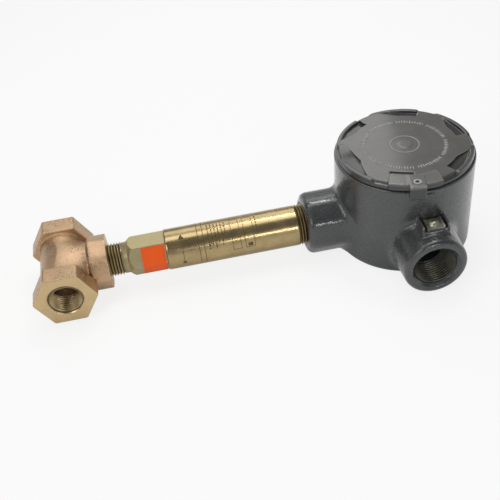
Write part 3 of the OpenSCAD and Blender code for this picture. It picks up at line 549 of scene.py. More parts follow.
def make_tee():
    """The tee's casting and the threads of its two ports."""
    lo, hi = (TEE_LO[0], 0, TEE_LO[2]), (BRANCH_X, RUN, TEE_HI[2])
    solid = net(tee_field, lo, hi, TEE_STEP, NET_MARGIN)
    piece("tee_casting", *solid, [CAST, MACHINED], "cast_bronze", "tee", machined_face)
    y0, y1 = PORT_THREAD
    bore_thread("inlet_thread", 0, y0, y1, PORT_R, PORT_THREADS, "cast_bronze")
    bore_thread("outlet_thread", 0, RUN - y1, RUN - y0, PORT_R, PORT_THREADS, "cast_bronze")


# Switch body: a stem with its thread, a cone, the hexagon, and a spigot that enters the tube

BODY_ORIGIN = np.array(BODY_LINE, float)
STEM_X = STEM_LO[0]
SPIGOT_X = STEM_HI[0]
HEX_END_X = SPIGOT_X - 8
THREAD_END_X = BRANCH_X + 8.7
CONE_X = THREAD_END_X + 3.3
HEX_X = CONE_X + 3.3
BODY_AF = STEM_HI[2] - STEM_LO[2]
CORNER_R = (STEM_HI[1] - STEM_LO[1]) / 2
NECK_R = 10.0
SPIGOT_R, SPIGOT_BORE = 10.45, 8
# The wet bore, where it ends, and its wider mouth
WET_R, WET_END_X = 7, 62
WET_MOUTH_R, WET_MOUTH_L = 7.6, 8
# Steps (along, out) after the thread's end and at the hexagon's end
NECK_STEPS = ((0.1, -0.6), (0.5, 0))
CORNER_STEPS = ((-0.15, -0.3), (0, -0.6))
# Gaps between stations at a sudden step, and the stations of the cone and the hexagon
STATION_GAP, EDGE_GAP = 0.05, 0.02
CONE_STATIONS, HEX_SPARE, HEX_STATIONS = 26, (0.1, 0.4), 8
# Lengths over which the threads run out
STEM_FADES, TUBE_FADES = (1.2, 0), (0.6, 1.5)


def hexed(limit):
    """Radius of the hexagon, clipped by a turned radius."""
    def radius(angle):
        off = np.degrees(angle) % 60 - 30
        return np.minimum(BODY_AF / 2 / np.cos(np.radians(off)), limit)
    return radius


def make_lower_body():
    """The brass body between the tee and the tube."""
    core = PIPE_R - THREAD_DEPTH
    stations = [(WET_END_X, 0), (WET_END_X, WET_R), (STEM_X + WET_MOUTH_L, WET_R),
                (STEM_X + WET_MOUTH_L, WET_MOUTH_R), (STEM_X, WET_MOUTH_R), (STEM_X, core)]
    stations += thread(STEM_X + STATION_GAP, THREAD_END_X, core, THREAD_DEPTH, *STEM_FADES)
    stations += [(THREAD_END_X + dx, NECK_R + dr) for dx, dr in NECK_STEPS] + [(CONE_X, NECK_R)]
    for x in np.linspace(CONE_X + STATION_GAP, HEX_X, CONE_STATIONS):
        stations.append((x, hexed(NECK_R + (CORNER_R - NECK_R) * (x - CONE_X) / (HEX_X - CONE_X))))
    for x in np.linspace(HEX_X + HEX_SPARE[0], HEX_END_X - HEX_SPARE[1], HEX_STATIONS):
        stations.append((x, hexed(CORNER_R)))
    stations += [(HEX_END_X + dx, hexed(CORNER_R + dr)) for dx, dr in CORNER_STEPS]
    stations += [(HEX_END_X, SPIGOT_R), (SPIGOT_X, SPIGOT_R), (SPIGOT_X, SPIGOT_BORE),
                 (HEX_END_X, SPIGOT_BORE), (HEX_END_X, 0)]
    solid = turned("X", BODY_ORIGIN, stations, 360)
    piece("lower_body_brass", *solid, [DULL, STEM_THREADS], "dull_brass", "lower_body",
          lambda c: c[:, 0] < THREAD_END_X + 0.3)


TUBE_BORE, TUBE_R = 10.5, 12.7


def make_upper_body():
    """The tube under the sleeve, with its thread."""
    x0, x1 = HEX_END_X, SLEEVE_HI[0]
    core = HUB_R - THREAD_DEPTH
    stations = [(x0, TUBE_BORE), (x0, TUBE_R), (x1, TUBE_R), (x1 + EDGE_GAP, core)]
    stations += thread(x1 + STATION_GAP, TUBE_HI[0], core, THREAD_DEPTH, *TUBE_FADES)
    stations += [(TUBE_HI[0], TUBE_BORE)]
    solid = turned("X", BODY_ORIGIN, stations)
    piece("upper_body_tube", *solid, [TUBE_THREADS], "dull_brass", "upper_body")


SLEEVE_BORE, SLEEVE_EDGE, SLEEVE_STATIONS = 12.75, 0.15, 60


def make_sleeve():
    """The bare sleeve, with broken edges."""
    r0, r1 = SLEEVE_BORE, SLEEVE_HI[2]
    x0, x1 = SLEEVE_LO[0], SLEEVE_HI[0]
    stations = [(x0, r0), (x0, r1 - SLEEVE_EDGE), (x0 + SLEEVE_EDGE, r1)]
    stations += [(x, r1) for x in np.linspace(x0 + 1, x1 - 1, SLEEVE_STATIONS)]
    stations += [(x1 - SLEEVE_EDGE, r1), (x1, r1 - SLEEVE_EDGE), (x1, r0)]
    solid = turned("X", BODY_ORIGIN, stations, 240)
    piece("sleeve_brass", *solid, [BRIGHT], "bright_brass", "nameplate_sleeve")


# How far the marks stand out of the sleeve and reach into it, and degrees between their points
ETCH_LIFT, ETCH_SINK, ETCH_STEP = 0.03, 0.1, 4
# Marks: start and end along the body, and first and last angle, which is 0 on top and grows to the
# front. They are two rules, the arrow's shaft and tail, two frames and a block.
SLEEVE_RULES = [(86.8, 87.2, -40, 120), (90.2, 90.6, -40, 120), (76.2, 76.6, 28, 96), (75.3, 77.5, 96, 104)]
for x0, x1 in ((108.4, 113.9), (116.5, 122.8)):
    SLEEVE_RULES += [(x0, x0 + 0.3, -5, 88), (x1 - 0.3, x1, -5, 88), (x0, x1, -5, -3.6), (x0, x1, 86.6, 88)]
SLEEVE_RULES.append((118.2, 121.2, 74, 84))
# Rows of plain dashes: (start along the body, last angle), a row's width, a dash's place and the
# first angle in degrees, and the share of its place that each dash takes up
DASH_ROWS = [(93.4, 70), (95.6, 62), (97.8, 70), (100.0, 58), (102.2, 66), (104.4, 40), (124.6, 52)]
DASH_WIDTH, DASH_PLACE, DASH_START = 0.75, 6, -4
DASH_SHARES = (0.8, 0.55, 0.85, 0.4, 0.7)
# The arrow's head: its middle along the body, and its half widths at its first and last angle
ARROW_X, ARROW_ANGLES, ARROW_HALVES, ARROW_POINTS = 76.4, (15, 29), (0.15, 1.9), 6


def mark_bands():
    """The bands of the marks, each as a loop of (x, angle): one side, and back along the other."""
    rules = list(SLEEVE_RULES)
    for row, (start, last) in enumerate(DASH_ROWS):
        for i, angle in enumerate(range(DASH_START, last, DASH_PLACE)):
            dash = DASH_PLACE * DASH_SHARES[(i + 2 * row) % len(DASH_SHARES)]
            rules.append((start, start + DASH_WIDTH, angle, angle + dash))
    bands = []
    for x0, x1, a0, a1 in rules:
        angles = np.linspace(a0, a1, max(2, int(abs(a1 - a0) / ETCH_STEP) + 1))
        bands.append([(x0, a) for a in angles] + [(x1, a) for a in angles[::-1]])
    head = list(zip(np.linspace(*ARROW_HALVES, ARROW_POINTS), np.linspace(*ARROW_ANGLES, ARROW_POINTS)))
    bands.append([(ARROW_X - w, a) for w, a in head] + [(ARROW_X + w, a) for w, a in head[::-1]])
    return bands


def make_sleeve_marks():
    """Plain etched rules, dashes, two frames and a flow arrow, as thin closed shells."""
    points, faces = [], []
    for band in mark_bands():
        start, n = len(points), len(band)
        for radius in (SLEEVE_HI[2] - ETCH_SINK, SLEEVE_HI[2] + ETCH_LIFT):
            for x, degrees in band:
                a = math.radians(degrees)
                points.append((x, AXIS_Y - radius * math.sin(a), radius * math.cos(a)))
        for i in range(n // 2 - 1):
            a, b, c, e = i, i + 1, n - 2 - i, n - 1 - i
            faces.append([start + v for v in (a, e, c, b)])
            faces.append([start + n + v for v in (a, b, c, e)])
        for i in range(n):
            j = (i + 1) % n
            faces.append([start + v for v in (i, j, n + j, n + i)])
    piece("sleeve_marks", points, faces, [ETCH], "bright_brass")


# Wire and turns of the spring, and the rings in a turn and points in a ring of its mesh
SPRING_WIRE_R, SPRING_TURNS = 0.25, 5
SPRING_RINGS, SPRING_SIDES = 24, 8


def make_spring():
    """The return spring's coil of round wire. On the real switch it is squeezed towards its seat on the wall
    as the vane swings.
    """
    lo, hi = corners("return_spring")
    middle = ((lo[0] + hi[0]) / 2, (lo[2] + hi[2]) / 2)
    radius = (hi[0] - lo[0]) / 2 - SPRING_WIRE_R
    y0, y1 = lo[1] + SPRING_WIRE_R, hi[1] - SPRING_WIRE_R
    points, faces = [], []
    count, around = SPRING_TURNS * SPRING_RINGS, SPRING_SIDES
    for i in range(count + 1):
        turn = 2 * math.pi * SPRING_TURNS * i / count
        for j in range(around):
            side = 2 * math.pi * j / around
            r = radius + SPRING_WIRE_R * math.cos(side)
            points.append((middle[0] + r * math.cos(turn),
                           y0 + (y1 - y0) * i / count + SPRING_WIRE_R * math.sin(side),
                           middle[1] + r * math.sin(turn)))
    for i in range(count):
        for j in range(around):
            k = (j + 1) % around
            a, b = i * around, (i + 1) * around
            faces.append([a + j, a + k, b + k, b + j])
    faces.append(list(range(around))[::-1])
    faces.append([count * around + j for j in range(around)])
    coil = piece("return_coil", points, faces, [STAINLESS], "stainless", "return_spring")
    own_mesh(coil)


# Junction box: wall, hub for the tube, conduit hub, and on that the ground screw's pad, with a
# cut-out over it and an ear on each side

BASE_Z, RIM_Z, FLOOR_T = -20, 43.6, 5
HUB_X = SLEEVE_HI[0] + 4.8
HUB_AF, HUB_TURN, HUB_CLIP_R = 39.2, -10, 20.5
MOUTH_Y = BOX_LO[1]
CONDUIT_R = 20.1
# How much the conduit hub grows to the wall, how far behind its mouth it starts, and its limit
CONDUIT_FLARE, FLARE_IN, FLARE_LIMIT = 0.8, 3, 1.3
# The room inside, and its steps for the cover's thread and the seal: radius and lowest height
ROOM_R = 38
ROOM_STEPS = ((39, 29.6), (41, 41.1))
# Both hubs' bores, and the narrower ways behind them
HUB_BORE_L, HUB_CHAMFER = 19, 2.3
WIRE_R, WIRE_WAY_L = 11, 50
# Boss of the inner ground screw, and the holes of both ground screws
BOSS_Y, BOSS_R, BOSS_H = AXIS_Y + 32, 4.4, 9
SCREW_R, PAD_HOLE_L = 2.05, 5.4
# Middle and top of the pad, and how far the pad, the cut-out and an ear reach from there
PAD_X = (CLAMP_LO[0] + CLAMP_HI[0]) / 2
PAD_Y = (CLAMP_LO[1] + CLAMP_HI[1]) / 2
PAD_Z = CLAMP_LO[2]
PAD_HALF, PAD_FRONT, PAD_BACK, PAD_DOWN = 8.5, 6.5, 8, 8
CUTOUT_HALF, CUTOUT_FRONT, CUTOUT_IN_WALL, CUTOUT_UP = 7.2, 12, 0.6, 20
EAR_OUT, EAR_HALF, EAR_FRONT, EAR_BACK, EAR_DOWN, EAR_UP = 7.9, 0.8, 5, 7, 5, 3.2
# Roundings
WALL_BASE_K, WALL_RIM_K, BASE_K, ROOM_K, BOSS_K = 2.2, 1.3, 0.8, 3, 0.6
HUB_CORNER_K, HUB_CLIP_K, HUB_FACE_K, HUB_ROOT_K = 2.4, 1.2, 5.2, 5
CONDUIT_FACE_K, CONDUIT_ROOT_K = 3.4, 4.5
PAD_K, PAD_ROOT_K, CUTOUT_K, EAR_K, EAR_ROOT_K = 1.2, 2.0, 1.0, 0.9, 0.8
BOX_STEP, BOX_QUICK_STEP = 0.6, 0.8
# Ends of the conduit hub's thread, from its mouth
CONDUIT_THREAD = 2.1, 18.8


def box_field(p):
    """Field of the box's casting, with its room, its bores and its screw holes."""
    x, y, z = p[..., 0], p[..., 1], p[..., 2]
    axis = (BOX_X, AXIS_Y, 0)
    wall = trim(rod(p, 2, axis, BOX_R), BASE_Z - z, WALL_BASE_K)
    wall = trim(wall, z - RIM_Z, WALL_RIM_K)
    hub = prism(y - AXIS_Y, z, HUB_AF, 8, HUB_TURN, HUB_CORNER_K)
    hub = trim(hub, rod(p, 0, axis, HUB_CLIP_R), HUB_CLIP_K)
    hub = trim(hub, HUB_X - x, HUB_FACE_K)
    hub = common(hub, x - BOX_X)
    flare = np.clip((y - MOUTH_Y - FLARE_IN) / (AXIS_Y - BOX_R - MOUTH_Y - FLARE_IN), 0, FLARE_LIMIT)
    conduit = trim(rod(p, 1, axis, CONDUIT_R + CONDUIT_FLARE * flare), MOUTH_Y - y, CONDUIT_FACE_K)
    conduit = common(conduit, y - AXIS_Y)
    d = fuse(wall, hub, HUB_ROOT_K)
    d = fuse(d, conduit, CONDUIT_ROOT_K)
    d = trim(d, BASE_Z - z, BASE_K)
    pad = block(p, (PAD_X - PAD_HALF, PAD_Y - PAD_FRONT, PAD_Z - PAD_DOWN),
                (PAD_X + PAD_HALF, PAD_Y + PAD_BACK, PAD_Z), PAD_K)
    cutout = block(p, (PAD_X - CUTOUT_HALF, PAD_Y - CUTOUT_FRONT, PAD_Z),
                   (PAD_X + CUTOUT_HALF, AXIS_Y - BOX_R + CUTOUT_IN_WALL, PAD_Z + CUTOUT_UP), CUTOUT_K)
    d = trim(fuse(d, pad, PAD_ROOT_K), -cutout, CUTOUT_K)
    for side in (-EAR_OUT, EAR_OUT):
        ear = block(p, (PAD_X + side - EAR_HALF, PAD_Y - EAR_FRONT, PAD_Z - EAR_DOWN),
                    (PAD_X + side + EAR_HALF, PAD_Y + EAR_BACK, PAD_Z + EAR_UP), EAR_K)
        d = fuse(d, ear, EAR_ROOT_K)
    space = trim(rod(p, 2, axis, ROOM_R), BASE_Z + FLOOR_T - z, ROOM_K)
    for radius, low in ROOM_STEPS:
        space = union(space, common(rod(p, 2, axis, radius), low - z))
    boss = trim(rod(p, 2, (BOX_X, BOSS_Y, 0), BOSS_R), z - BASE_Z - BOSS_H, BOSS_K)
    space = common(space, -boss)
    for i, face in ((0, HUB_X), (1, MOUTH_Y)):
        inward = p[..., i] - face
        space = union(space, common(rod(p, i, axis, HUB_BORE_R), inward - HUB_BORE_L),
                      common(rod(p, i, axis, WIRE_R), inward - WIRE_WAY_L),
                      mouth(p, i, axis, face, 1, HUB_BORE_R, HUB_CHAMFER))
    for centre, low in (((PAD_X, PAD_Y, 0), PAD_Z - PAD_HOLE_L), ((BOX_X, BOSS_Y, 0), BASE_Z + FLOOR_T)):
        space = union(space, common(rod(p, 2, centre, SCREW_R), low - z))
    return common(d, -space)


def make_box():
    """The box's casting and the thread of its conduit hub."""
    lo, hi = (HUB_X, MOUTH_Y, BASE_Z), (BOX_HI[0], BOX_HI[1], RIM_Z)
    solid = net(box_field, lo, hi, BOX_STEP, NET_MARGIN)
    piece("box_casting", *solid, [ENAMEL], "box_enamel", "junction_box")
    y0, y1 = (MOUTH_Y + end for end in CONDUIT_THREAD)
    bore_thread("conduit_thread", BOX_X, y0, y1, HUB_BORE_R, HUB_THREADS, "box_enamel")


# Cover: a plateau with pockets at its edge, a rim, a flange, the locking lug with a block on each
# side, and the skirt below

LUG_Z = COVER_HI[2]
BLOCK_Z, TOP_Z = LUG_Z - 0.6, LUG_Z - 1.5
LEDGE_Z, FLANGE_Z, SKIRT_TOP_Z = 46.3, 43.9, 40.6
SKIRT_R, FLANGE_R, PLATEAU_R = 38.4, 43, 41.3
RIM_IN_R, RIM_OUT_R = 39.9, 42.7
COVER_BORE_R, TOP_T = 32.5, 3.5
# Six places for pockets. The lug takes one, and the front one has its own shape
POCKET_START, POCKET_COUNT = -1.5, 6
POCKET_SPAN = 360 / POCKET_COUNT
LUG_PLACE, FRONT_PLACE = 4, 3
# The other four: the inner wall's radius and growth, and the floor's depth and climb, each with the
# angle where it starts and the degrees that it takes
WALL_R, WALL_GROWTH, WALL_FROM, WALL_OVER = 33.6, 8.6, 18, 28
FLOOR_DEPTH, FLOOR_CLIMB, FLOOR_FROM, FLOOR_OVER = 0.6, 2.4, 12, 32
# Past this angle, the next pocket's end wall is nearest
NEXT_WALL_FROM = 50
# The front pocket: its angles, its depth and the degrees in which it sinks, the steepness of its
# inner wall, and that wall as (angle, radius)
FRONT_FROM, FRONT_TO = -16, 50
FRONT_DEPTH, FRONT_OVER, FRONT_STEEPNESS = 2.3, 34, 0.9
FRONT_EDGE = [(-16, 37.5), (-12.5, 35.8), (-3.5, 33.8), (7.5, 32.6), (16.5, 32.3), (27.5, 35.6), (38.5, 39.9),
              (45, 41.6), (50, 43.5)]
# Draft of the walls, and the field where there is no pocket
DRAFT, NO_POCKET = 0.3, 4.0
# The rim's height over the ledge, and (angle, degrees) of its rise, at the front too, and its fall
RIM_H = 1.75
RIM_RISE, RIM_FRONT_RISE, RIM_FALL = (-2, 4), (8, 6), (42, 8)
# The lug, and its part outside the wall
LUG_A = -99
LUG_IN_R, LUG_OUT_R, LUG_HALF, LUG_LOW_Z = 34, 47.2, 5, 44.4
DROP_IN_R, DROP_LOW_Z, DROP_TOP_Z = 44.75, 40, 46
# The blocks beside the lug: their angle from it, and (side, half width, top) of each
BLOCK_A = 14
BLOCK_IN_R, BLOCK_OUT_R, BLOCK_LOW_Z = 33, 43.8, 44.2
BLOCKS = ((-1, 6.6, BLOCK_Z), (1, 5.8, BLOCK_Z - 0.4))
# The low boss in the middle, the slot near the lug, and the lock screw's hole
HUMP_R, HUMP_H = 4.2, 0.35
SLOT_A = -112
SLOT_IN_R, SLOT_OUT_R, SLOT_HALF, SLOT_DOWN, SLOT_UP = 29.6, 32.2, 7, 1.3, 6
LOCK_R, LOCK_INSET, LOCK_LOW_Z = 2.4, 5, 45.6
# Underside of what lies outside the box's wall
OUTSIDE_R, OUTSIDE_Z = 44.5, 39.9
# Roundings
POCKET_END_K, POCKET_FLOOR_K, POCKET_EDGE_K = 0.8, 0.9, 0.7
PLATEAU_K, RIM_K, FLANGE_K, RIM_ROOT_K, LEDGE_K = 1.8, 0.8, 0.9, 0.5, 0.7
LUG_K, LUG_ROOT_K, DROP_K, DROP_ROOT_K = 1.0, 0.6, 0.9, 0.4
HUMP_K, HUMP_ROOT_K, SLOT_K, SLOT_EDGE_K = 0.5, 0.4, 0.5, 0.6
# The net's steps, its margin, and its lowest height over that margin
COVER_STEP, COVER_QUICK_STEP = 0.4, 0.55
COVER_MARGIN, COVER_NET_Z = 1, 40
# The skirt's thread
SKIRT_THREAD_R, SKIRT_DEPTH, SKIRT_PITCH = 38.7, 0.8, 3.175
SKIRT_FADE, SKIRT_LAP, SKIRT_STATIONS = 1.5, 0.3, 70


def smooth_step(x):
    """Zero to one, without a corner at either end."""
    x = np.clip(x, 0, 1)
    return x * x * (3 - 2 * x)


def frame_at(p, degrees):
    """Points in a frame about the box's axis: out along an angle, aside, and up."""
    x, y = p[..., 0] - BOX_X, p[..., 1] - AXIS_Y
    a = math.radians(degrees)
    out = x * math.cos(a) + y * math.sin(a)
    aside = -x * math.sin(a) + y * math.cos(a)
    return np.stack([out, aside, p[..., 2]], -1)


def pocket_place(angle):
    """Which pocket's place an angle is in, and how many degrees into it."""
    return np.floor((angle - POCKET_START) / POCKET_SPAN) % POCKET_COUNT, (angle - POCKET_START) % POCKET_SPAN


def pocket_field(r, angle, z):
    """Field of the pockets: a steep end wall, and a floor that climbs to the other end."""
    place, into = pocket_place(angle)
    edge = WALL_R + WALL_GROWTH * smooth_step((into - WALL_FROM) / WALL_OVER)
    floor = LEDGE_Z - FLOOR_DEPTH + FLOOR_CLIMB * np.clip((into - FLOOR_FROM) / FLOOR_OVER, 0, 1)
    end = np.where(into < NEXT_WALL_FROM, -into, POCKET_SPAN - into) * np.pi / 180 * r
    lean = (z - TOP_Z) * DRAFT
    d = trim((edge - r) + lean, end + lean, POCKET_END_K)
    d = trim(d, floor - z, POCKET_FLOOR_K)
    d = np.where((place == LUG_PLACE) | (place == FRONT_PLACE), NO_POCKET, d)
    turn = (angle - POCKET_START - POCKET_SPAN * FRONT_PLACE + 180) % 360 - 180
    edge = np.interp(turn, *zip(*FRONT_EDGE))
    floor = TOP_Z - FRONT_DEPTH * smooth_step((turn - FRONT_FROM) / FRONT_OVER)
    front = trim((edge - r) * FRONT_STEEPNESS + lean, floor - z, POCKET_FLOOR_K)
    front = np.where((turn > FRONT_FROM) & (turn < FRONT_TO), front, NO_POCKET)
    return union(d, front)


def rim_share(angle):
    """How high the rim stands at an angle, from zero to one."""
    place, into = pocket_place(angle)

    def passed(limit):
        return smooth_step((into - limit[0]) / limit[1])

    share = np.where(place == FRONT_PLACE, passed(RIM_FRONT_RISE), passed(RIM_RISE)) * (1 - passed(RIM_FALL))
    return np.where(place == LUG_PLACE, 0, share)


def cover_field(p):
    """Field of the cover's casting, down to the top of the skirt's thread."""
    x, y, z = p[..., 0] - BOX_X, p[..., 1] - AXIS_Y, p[..., 2]
    r = np.hypot(x, y)
    angle = np.degrees(np.arctan2(y, x))
    d = trim(r - PLATEAU_R, z - TOP_Z, PLATEAU_K)
    d = trim(d, -pocket_field(r, angle, z), POCKET_EDGE_K)
    rim_top = LEDGE_Z + RIM_H * rim_share(angle)
    rim = trim(common(RIM_IN_R - r, r - RIM_OUT_R), z - rim_top, RIM_K)
    flange = trim(r - FLANGE_R, z - LEDGE_Z, FLANGE_K)
    d = fuse(d, fuse(rim, flange, RIM_ROOT_K), LEDGE_K)
    lug = frame_at(p, LUG_A)
    body = block(lug, (LUG_IN_R, -LUG_HALF, LUG_LOW_Z), (LUG_OUT_R, LUG_HALF, LUG_Z), LUG_K)
    drop = block(lug, (DROP_IN_R, -LUG_HALF, DROP_LOW_Z), (LUG_OUT_R, LUG_HALF, DROP_TOP_Z), DROP_K)
    d = fuse(fuse(d, body, LUG_ROOT_K), drop, DROP_ROOT_K)
    for side, half, top in BLOCKS:
        local = frame_at(p, LUG_A + side * BLOCK_A)
        bend = np.hypot(local[..., 0], local[..., 1]) * np.sign(local[..., 0])
        shape = np.stack([bend, local[..., 1], z], -1)
        beside = block(shape, (BLOCK_IN_R, -half, BLOCK_LOW_Z), (BLOCK_OUT_R, half, top), LUG_K)
        d = fuse(d, beside, LUG_ROOT_K)
    d = fuse(d, trim(r - HUMP_R, z - TOP_Z - HUMP_H, HUMP_K), HUMP_ROOT_K)
    slot = block(frame_at(p, SLOT_A), (SLOT_IN_R, -SLOT_HALF, TOP_Z - SLOT_DOWN),
                 (SLOT_OUT_R, SLOT_HALF, TOP_Z + SLOT_UP), SLOT_K)
    d = trim(d, -slot, SLOT_EDGE_K)
    d = union(d, common(r - SKIRT_R, z - FLANGE_Z - 1))
    under = np.where(r > OUTSIDE_R, OUTSIDE_Z, np.where(r > SKIRT_R, FLANGE_Z, SKIRT_TOP_Z))
    bore = common(r - COVER_BORE_R, z - (TOP_Z - TOP_T))
    lock = np.hypot(lug[..., 0] - (LUG_OUT_R - LOCK_INSET), lug[..., 1]) - LOCK_R
    return common(d, union(under - z, 3), -bore, -common(lock, LOCK_LOW_Z - z))


def make_cover():
    """The cover's casting and the thread on its skirt."""
    lo, hi = (*COVER_LO[:2], COVER_NET_Z), COVER_HI
    points, quads = net(cover_field, lo, hi, COVER_STEP, COVER_MARGIN)
    points = np.clip(points, COVER_LO, COVER_HI)
    piece("cover_casting", points, quads, [COVER_PAINT], "cover_enamel", "cover", body="cover_assembly")
    z0, z1 = COVER_LO[2], SKIRT_TOP_Z + SKIRT_LAP
    core = SKIRT_THREAD_R - SKIRT_DEPTH
    stations = [(z0, COVER_BORE_R)]
    for z in np.linspace(z0, z1, SKIRT_STATIONS):
        stations.append((z, helix(z, core, SKIRT_DEPTH, min(1, (z - z0) / SKIRT_FADE), SKIRT_PITCH)))
    stations.append((z1, COVER_BORE_R))
    solid = turned("Z", np.array([BOX_X, AXIS_Y, 0.0]), stations, 240)
    piece("cover_thread", *solid, [COVER_PAINT], "cover_enamel", body="cover_assembly")


# How far raised bars reach into the top, and how much wider they are there
BAR_SINK, BAR_DRAFT = 0.3, 0.16
# Ring of ticks, of which every third is short and every second is wider
TICK_COUNT, TICK_RING_R = 96, 25.6
TICK_L, TICK_SHORT_L = 2.5, 1.6
TICK_W, TICK_WIDER, TICK_H = 0.45, 0.25, 0.28
# Ring of pips round the boss
PIP_COUNT, PIP_RING_R = 36, 9
PIP_L, PIP_W, PIP_H = 1.0, 0.6, 0.3


def raised_bar(points, faces, ring_r, a, turn, length, width, height):
    """Adds a raised cast bar with drafted sides to the cover's top, at an angle on a ring."""
    start = len(points)
    x, y = BOX_X + ring_r * math.cos(a), AXIS_Y + ring_r * math.sin(a)
    for z, grow in ((TOP_Z - BAR_SINK, BAR_DRAFT), (TOP_Z + height, 0)):
        for u, v in ((-1, -1), (1, -1), (1, 1), (-1, 1)):
            du, dv = u * (length / 2 + grow), v * (width / 2 + grow)
            points.append((x + du * math.cos(turn) - dv * math.sin(turn),
                           y + du * math.sin(turn) + dv * math.cos(turn), z))
    for face in ((4, 5, 6, 7), (0, 1, 5, 4), (1, 2, 6, 5), (2, 3, 7, 6), (3, 0, 4, 7), (3, 2, 1, 0)):
        faces.append([start + v for v in face])


def make_cover_marks():
    """A plain ring of raised ticks and a ring of pips round a low boss, on the bare top."""
    points, faces = [], []
    for i in range(TICK_COUNT):
        if i % 12 == 11:
            continue
        a = math.radians(360 * i / TICK_COUNT)
        length = TICK_L if i % 3 else TICK_SHORT_L
        raised_bar(points, faces, TICK_RING_R, a, a, length, TICK_W + TICK_WIDER * (i % 2), TICK_H)
    for i in range(PIP_COUNT):
        a = math.radians(360 * i / PIP_COUNT)
        raised_bar(points, faces, PIP_RING_R, a, a + math.pi / 2, PIP_L, PIP_W, PIP_H)
    piece("cover_marks", points, faces, [COVER_PAINT], "cover_enamel", body="cover_assembly")


# Carried-over nodes and their finishes

FINISHES = (
    (STAINLESS, ("vane", "vane_arm", "vane_screws", "vane_pin", "switch_bracket", "switch_lever", "lever_pin",
                 "switch_screws", "switch_nuts", "cover_lock_screw")),
    (STEEL, ("ground_screw", "ground_clamp")), (GREEN, ("inner_ground_screw",)),
    (RUBBER, ("body_seal", "cover_o_ring")), (MAGNET, ("vane_magnet", "switch_magnet")),
    (LABEL, ("body_label",)), (DULL, ("pivot_yoke",)), (BRIGHT, ("switch_terminals",)),
    (BLACK_PLASTIC, ("snap_switch",)), (RED_PLASTIC, ("switch_plunger",)),
    (INSULATION, ("switch_leads",)), (POTTING, ("lead_seal",)))


def dress_nodes():
    """Gives each carried-over node its finish."""
    for material, names in FINISHES:
        for name in names:
            mesh = NODES[name].data
            mesh.materials.clear()
            mesh.materials.append(material)


# Camera at the photograph's viewing angle, with its place in millimetres

CAMERA_PLACE = (68.34, -386.89, 348.01)
CAMERA_FORWARD = (0.0937, 0.7519, -0.6526)
CAMERA_UP = (0.1872, 0.6305, 0.7533)
CAMERA_LENS, CAMERA_SENSOR = 60.09, 36


def make_camera():
    """The camera, with its axes made square to each other."""
    forward = Vector(CAMERA_FORWARD).normalized()
    right = forward.cross(Vector(CAMERA_UP)).normalized()
    up = right.cross(forward)
    data = bpy.data.cameras.new("camera")
    data.sensor_width = CAMERA_SENSOR
    data.lens = CAMERA_LENS
    cam = new_object("camera", data)
    basis = Matrix((right, up, -forward)).transposed().to_4x4()
    cam.matrix_world = Matrix.Translation(Vector(CAMERA_PLACE) * MM) @ basis
    bpy.context.scene.camera = cam


# Studio

# Lamps: place, aim and size in millimetres, and brightness
LAMPS = {"top": ((110, 110, 560), (120, 30, 0), (720, 240), 1.9),
         "back": ((120, 560, 470), (180, 30, 0), (620, 380), 1.3),
         "front": ((-300, -330, 430), (120, 30, 0), (300, 300), 3.1),
         "strip_top": ((270, 250, 560), (165, 0, 20), (220, 24), 26),
         "strip_front": ((258, -463, 215), (165, -18, 11), (220, 40), 12)}
# Brightness of the world as a light. Mirror rays see it full up to HORIZON_LOW, and at ABOVE from
# HORIZON_HIGH, which are heights on a sphere of radius one
WORLD_LIGHT = 0.24
HORIZON_LOW, HORIZON_HIGH = 0.02, 0.3
ABOVE = 0.22
# The floor: half its size and its gap under the part in metres, its finish, and the shares of white
# that the camera and mirror rays see on it
FLOOR_HALF, FLOOR_GAP = 3.0, 0.0002
FLOOR_COLOUR, FLOOR_ROUGH = (0.95, 0.95, 0.95, 1), 0.9
FLOOR_SHARE, MIRROR_SHARE = 0.82, 0.2


def lamp(name, place, target, size, radiance):
    """A rectangular lamp at a place, aimed at a target, of a given brightness."""
    data = bpy.data.lights.new(name, "AREA")
    data.shape = "RECTANGLE"
    data.size, data.size_y = (s * MM for s in size)
    data.energy = radiance * math.pi * data.size * data.size_y
    obj = new_object(name, data)
    obj.location = Vector(place) * MM
    obj.rotation_euler = (Vector(target) - Vector(place)).to_track_quat("-Z", "Y").to_euler()


def seen_rays(add, camera_share, mirror_share):
    """Node outputs: the share of the background that a ray sees, and one for a camera ray."""
    path = add("ShaderNodeLightPath").outputs
    total = calc(add, "MULTIPLY", path["Is Camera Ray"], camera_share)
    for kind in ("Is Glossy Ray", "Is Transmission Ray"):
        total = calc(add, "MAXIMUM", total, calc(add, "MULTIPLY", path[kind], mirror_share))
    return total, path["Is Camera Ray"]


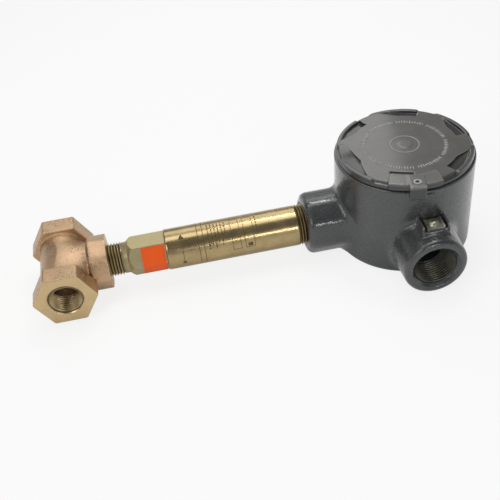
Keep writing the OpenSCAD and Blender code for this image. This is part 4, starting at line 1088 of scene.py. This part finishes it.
def make_world():
    """A world that lights plainly, and that camera and mirror rays see as a pale studio. It is dim
    above the horizon, except to the camera."""
    world = bpy.data.worlds.new("studio")
    bpy.context.scene.world = world
    world.use_nodes = True
    world.node_tree.nodes.clear()
    add = adder(world.node_tree)
    rays, camera_rays = seen_rays(add, 1, 1)
    place = add("ShaderNodeTexCoord").outputs["Generated"]
    height = add("ShaderNodeSeparateXYZ", [(place, 0)]).outputs["Z"]
    climb = span(add, height, HORIZON_LOW, HORIZON_HIGH, 1, ABOVE)
    strength = calc(add, "MAXIMUM", climb, camera_rays)
    lit = add("ShaderNodeBackground", in_Color=(*WHITE, 1), in_Strength=WORLD_LIGHT).outputs[0]
    seen = add("ShaderNodeBackground", [(strength, "Strength")]).outputs[0]
    mix = add("ShaderNodeMixShader", [(rays, 0), (lit, 1), (seen, 2)])
    add("ShaderNodeOutputWorld", [(mix.outputs[0], "Surface")])


def make_floor():
    """A large white floor just under the part, which is staging and no part of it."""
    mesh = bpy.data.meshes.new("floor")
    z = BASE_Z * MM - FLOOR_GAP
    square = ((-1, -1), (1, -1), (1, 1), (-1, 1))
    mesh.from_pydata([(u * FLOOR_HALF, v * FLOOR_HALF, z) for u, v in square], [], [(0, 1, 2, 3)])
    floor = new_object("floor", mesh)
    m, tree, shader, add = new_material("floor_white")
    shader.inputs["Base Color"].default_value = FLOOR_COLOUR
    shader.inputs["Roughness"].default_value = FLOOR_ROUGH
    glow = add("ShaderNodeEmission", in_Strength=1.0)
    rays = seen_rays(add, FLOOR_SHARE, MIRROR_SHARE)[0]
    mix = add("ShaderNodeMixShader", [(rays, 0), (shader.outputs[0], 1), (glow.outputs[0], 2)])
    tree.links.new(mix.outputs[0], tree.nodes["Material Output"].inputs["Surface"])
    mesh.materials.append(m)


make_tee()
make_lower_body()
make_upper_body()
make_sleeve()
make_sleeve_marks()
make_spring()
make_box()
make_cover()
make_cover_marks()
dress_nodes()
make_camera()
for name, setting in LAMPS.items():
    lamp(name, *setting)
make_world()
make_floor()
bpy.context.scene.view_settings.view_transform = "Standard"
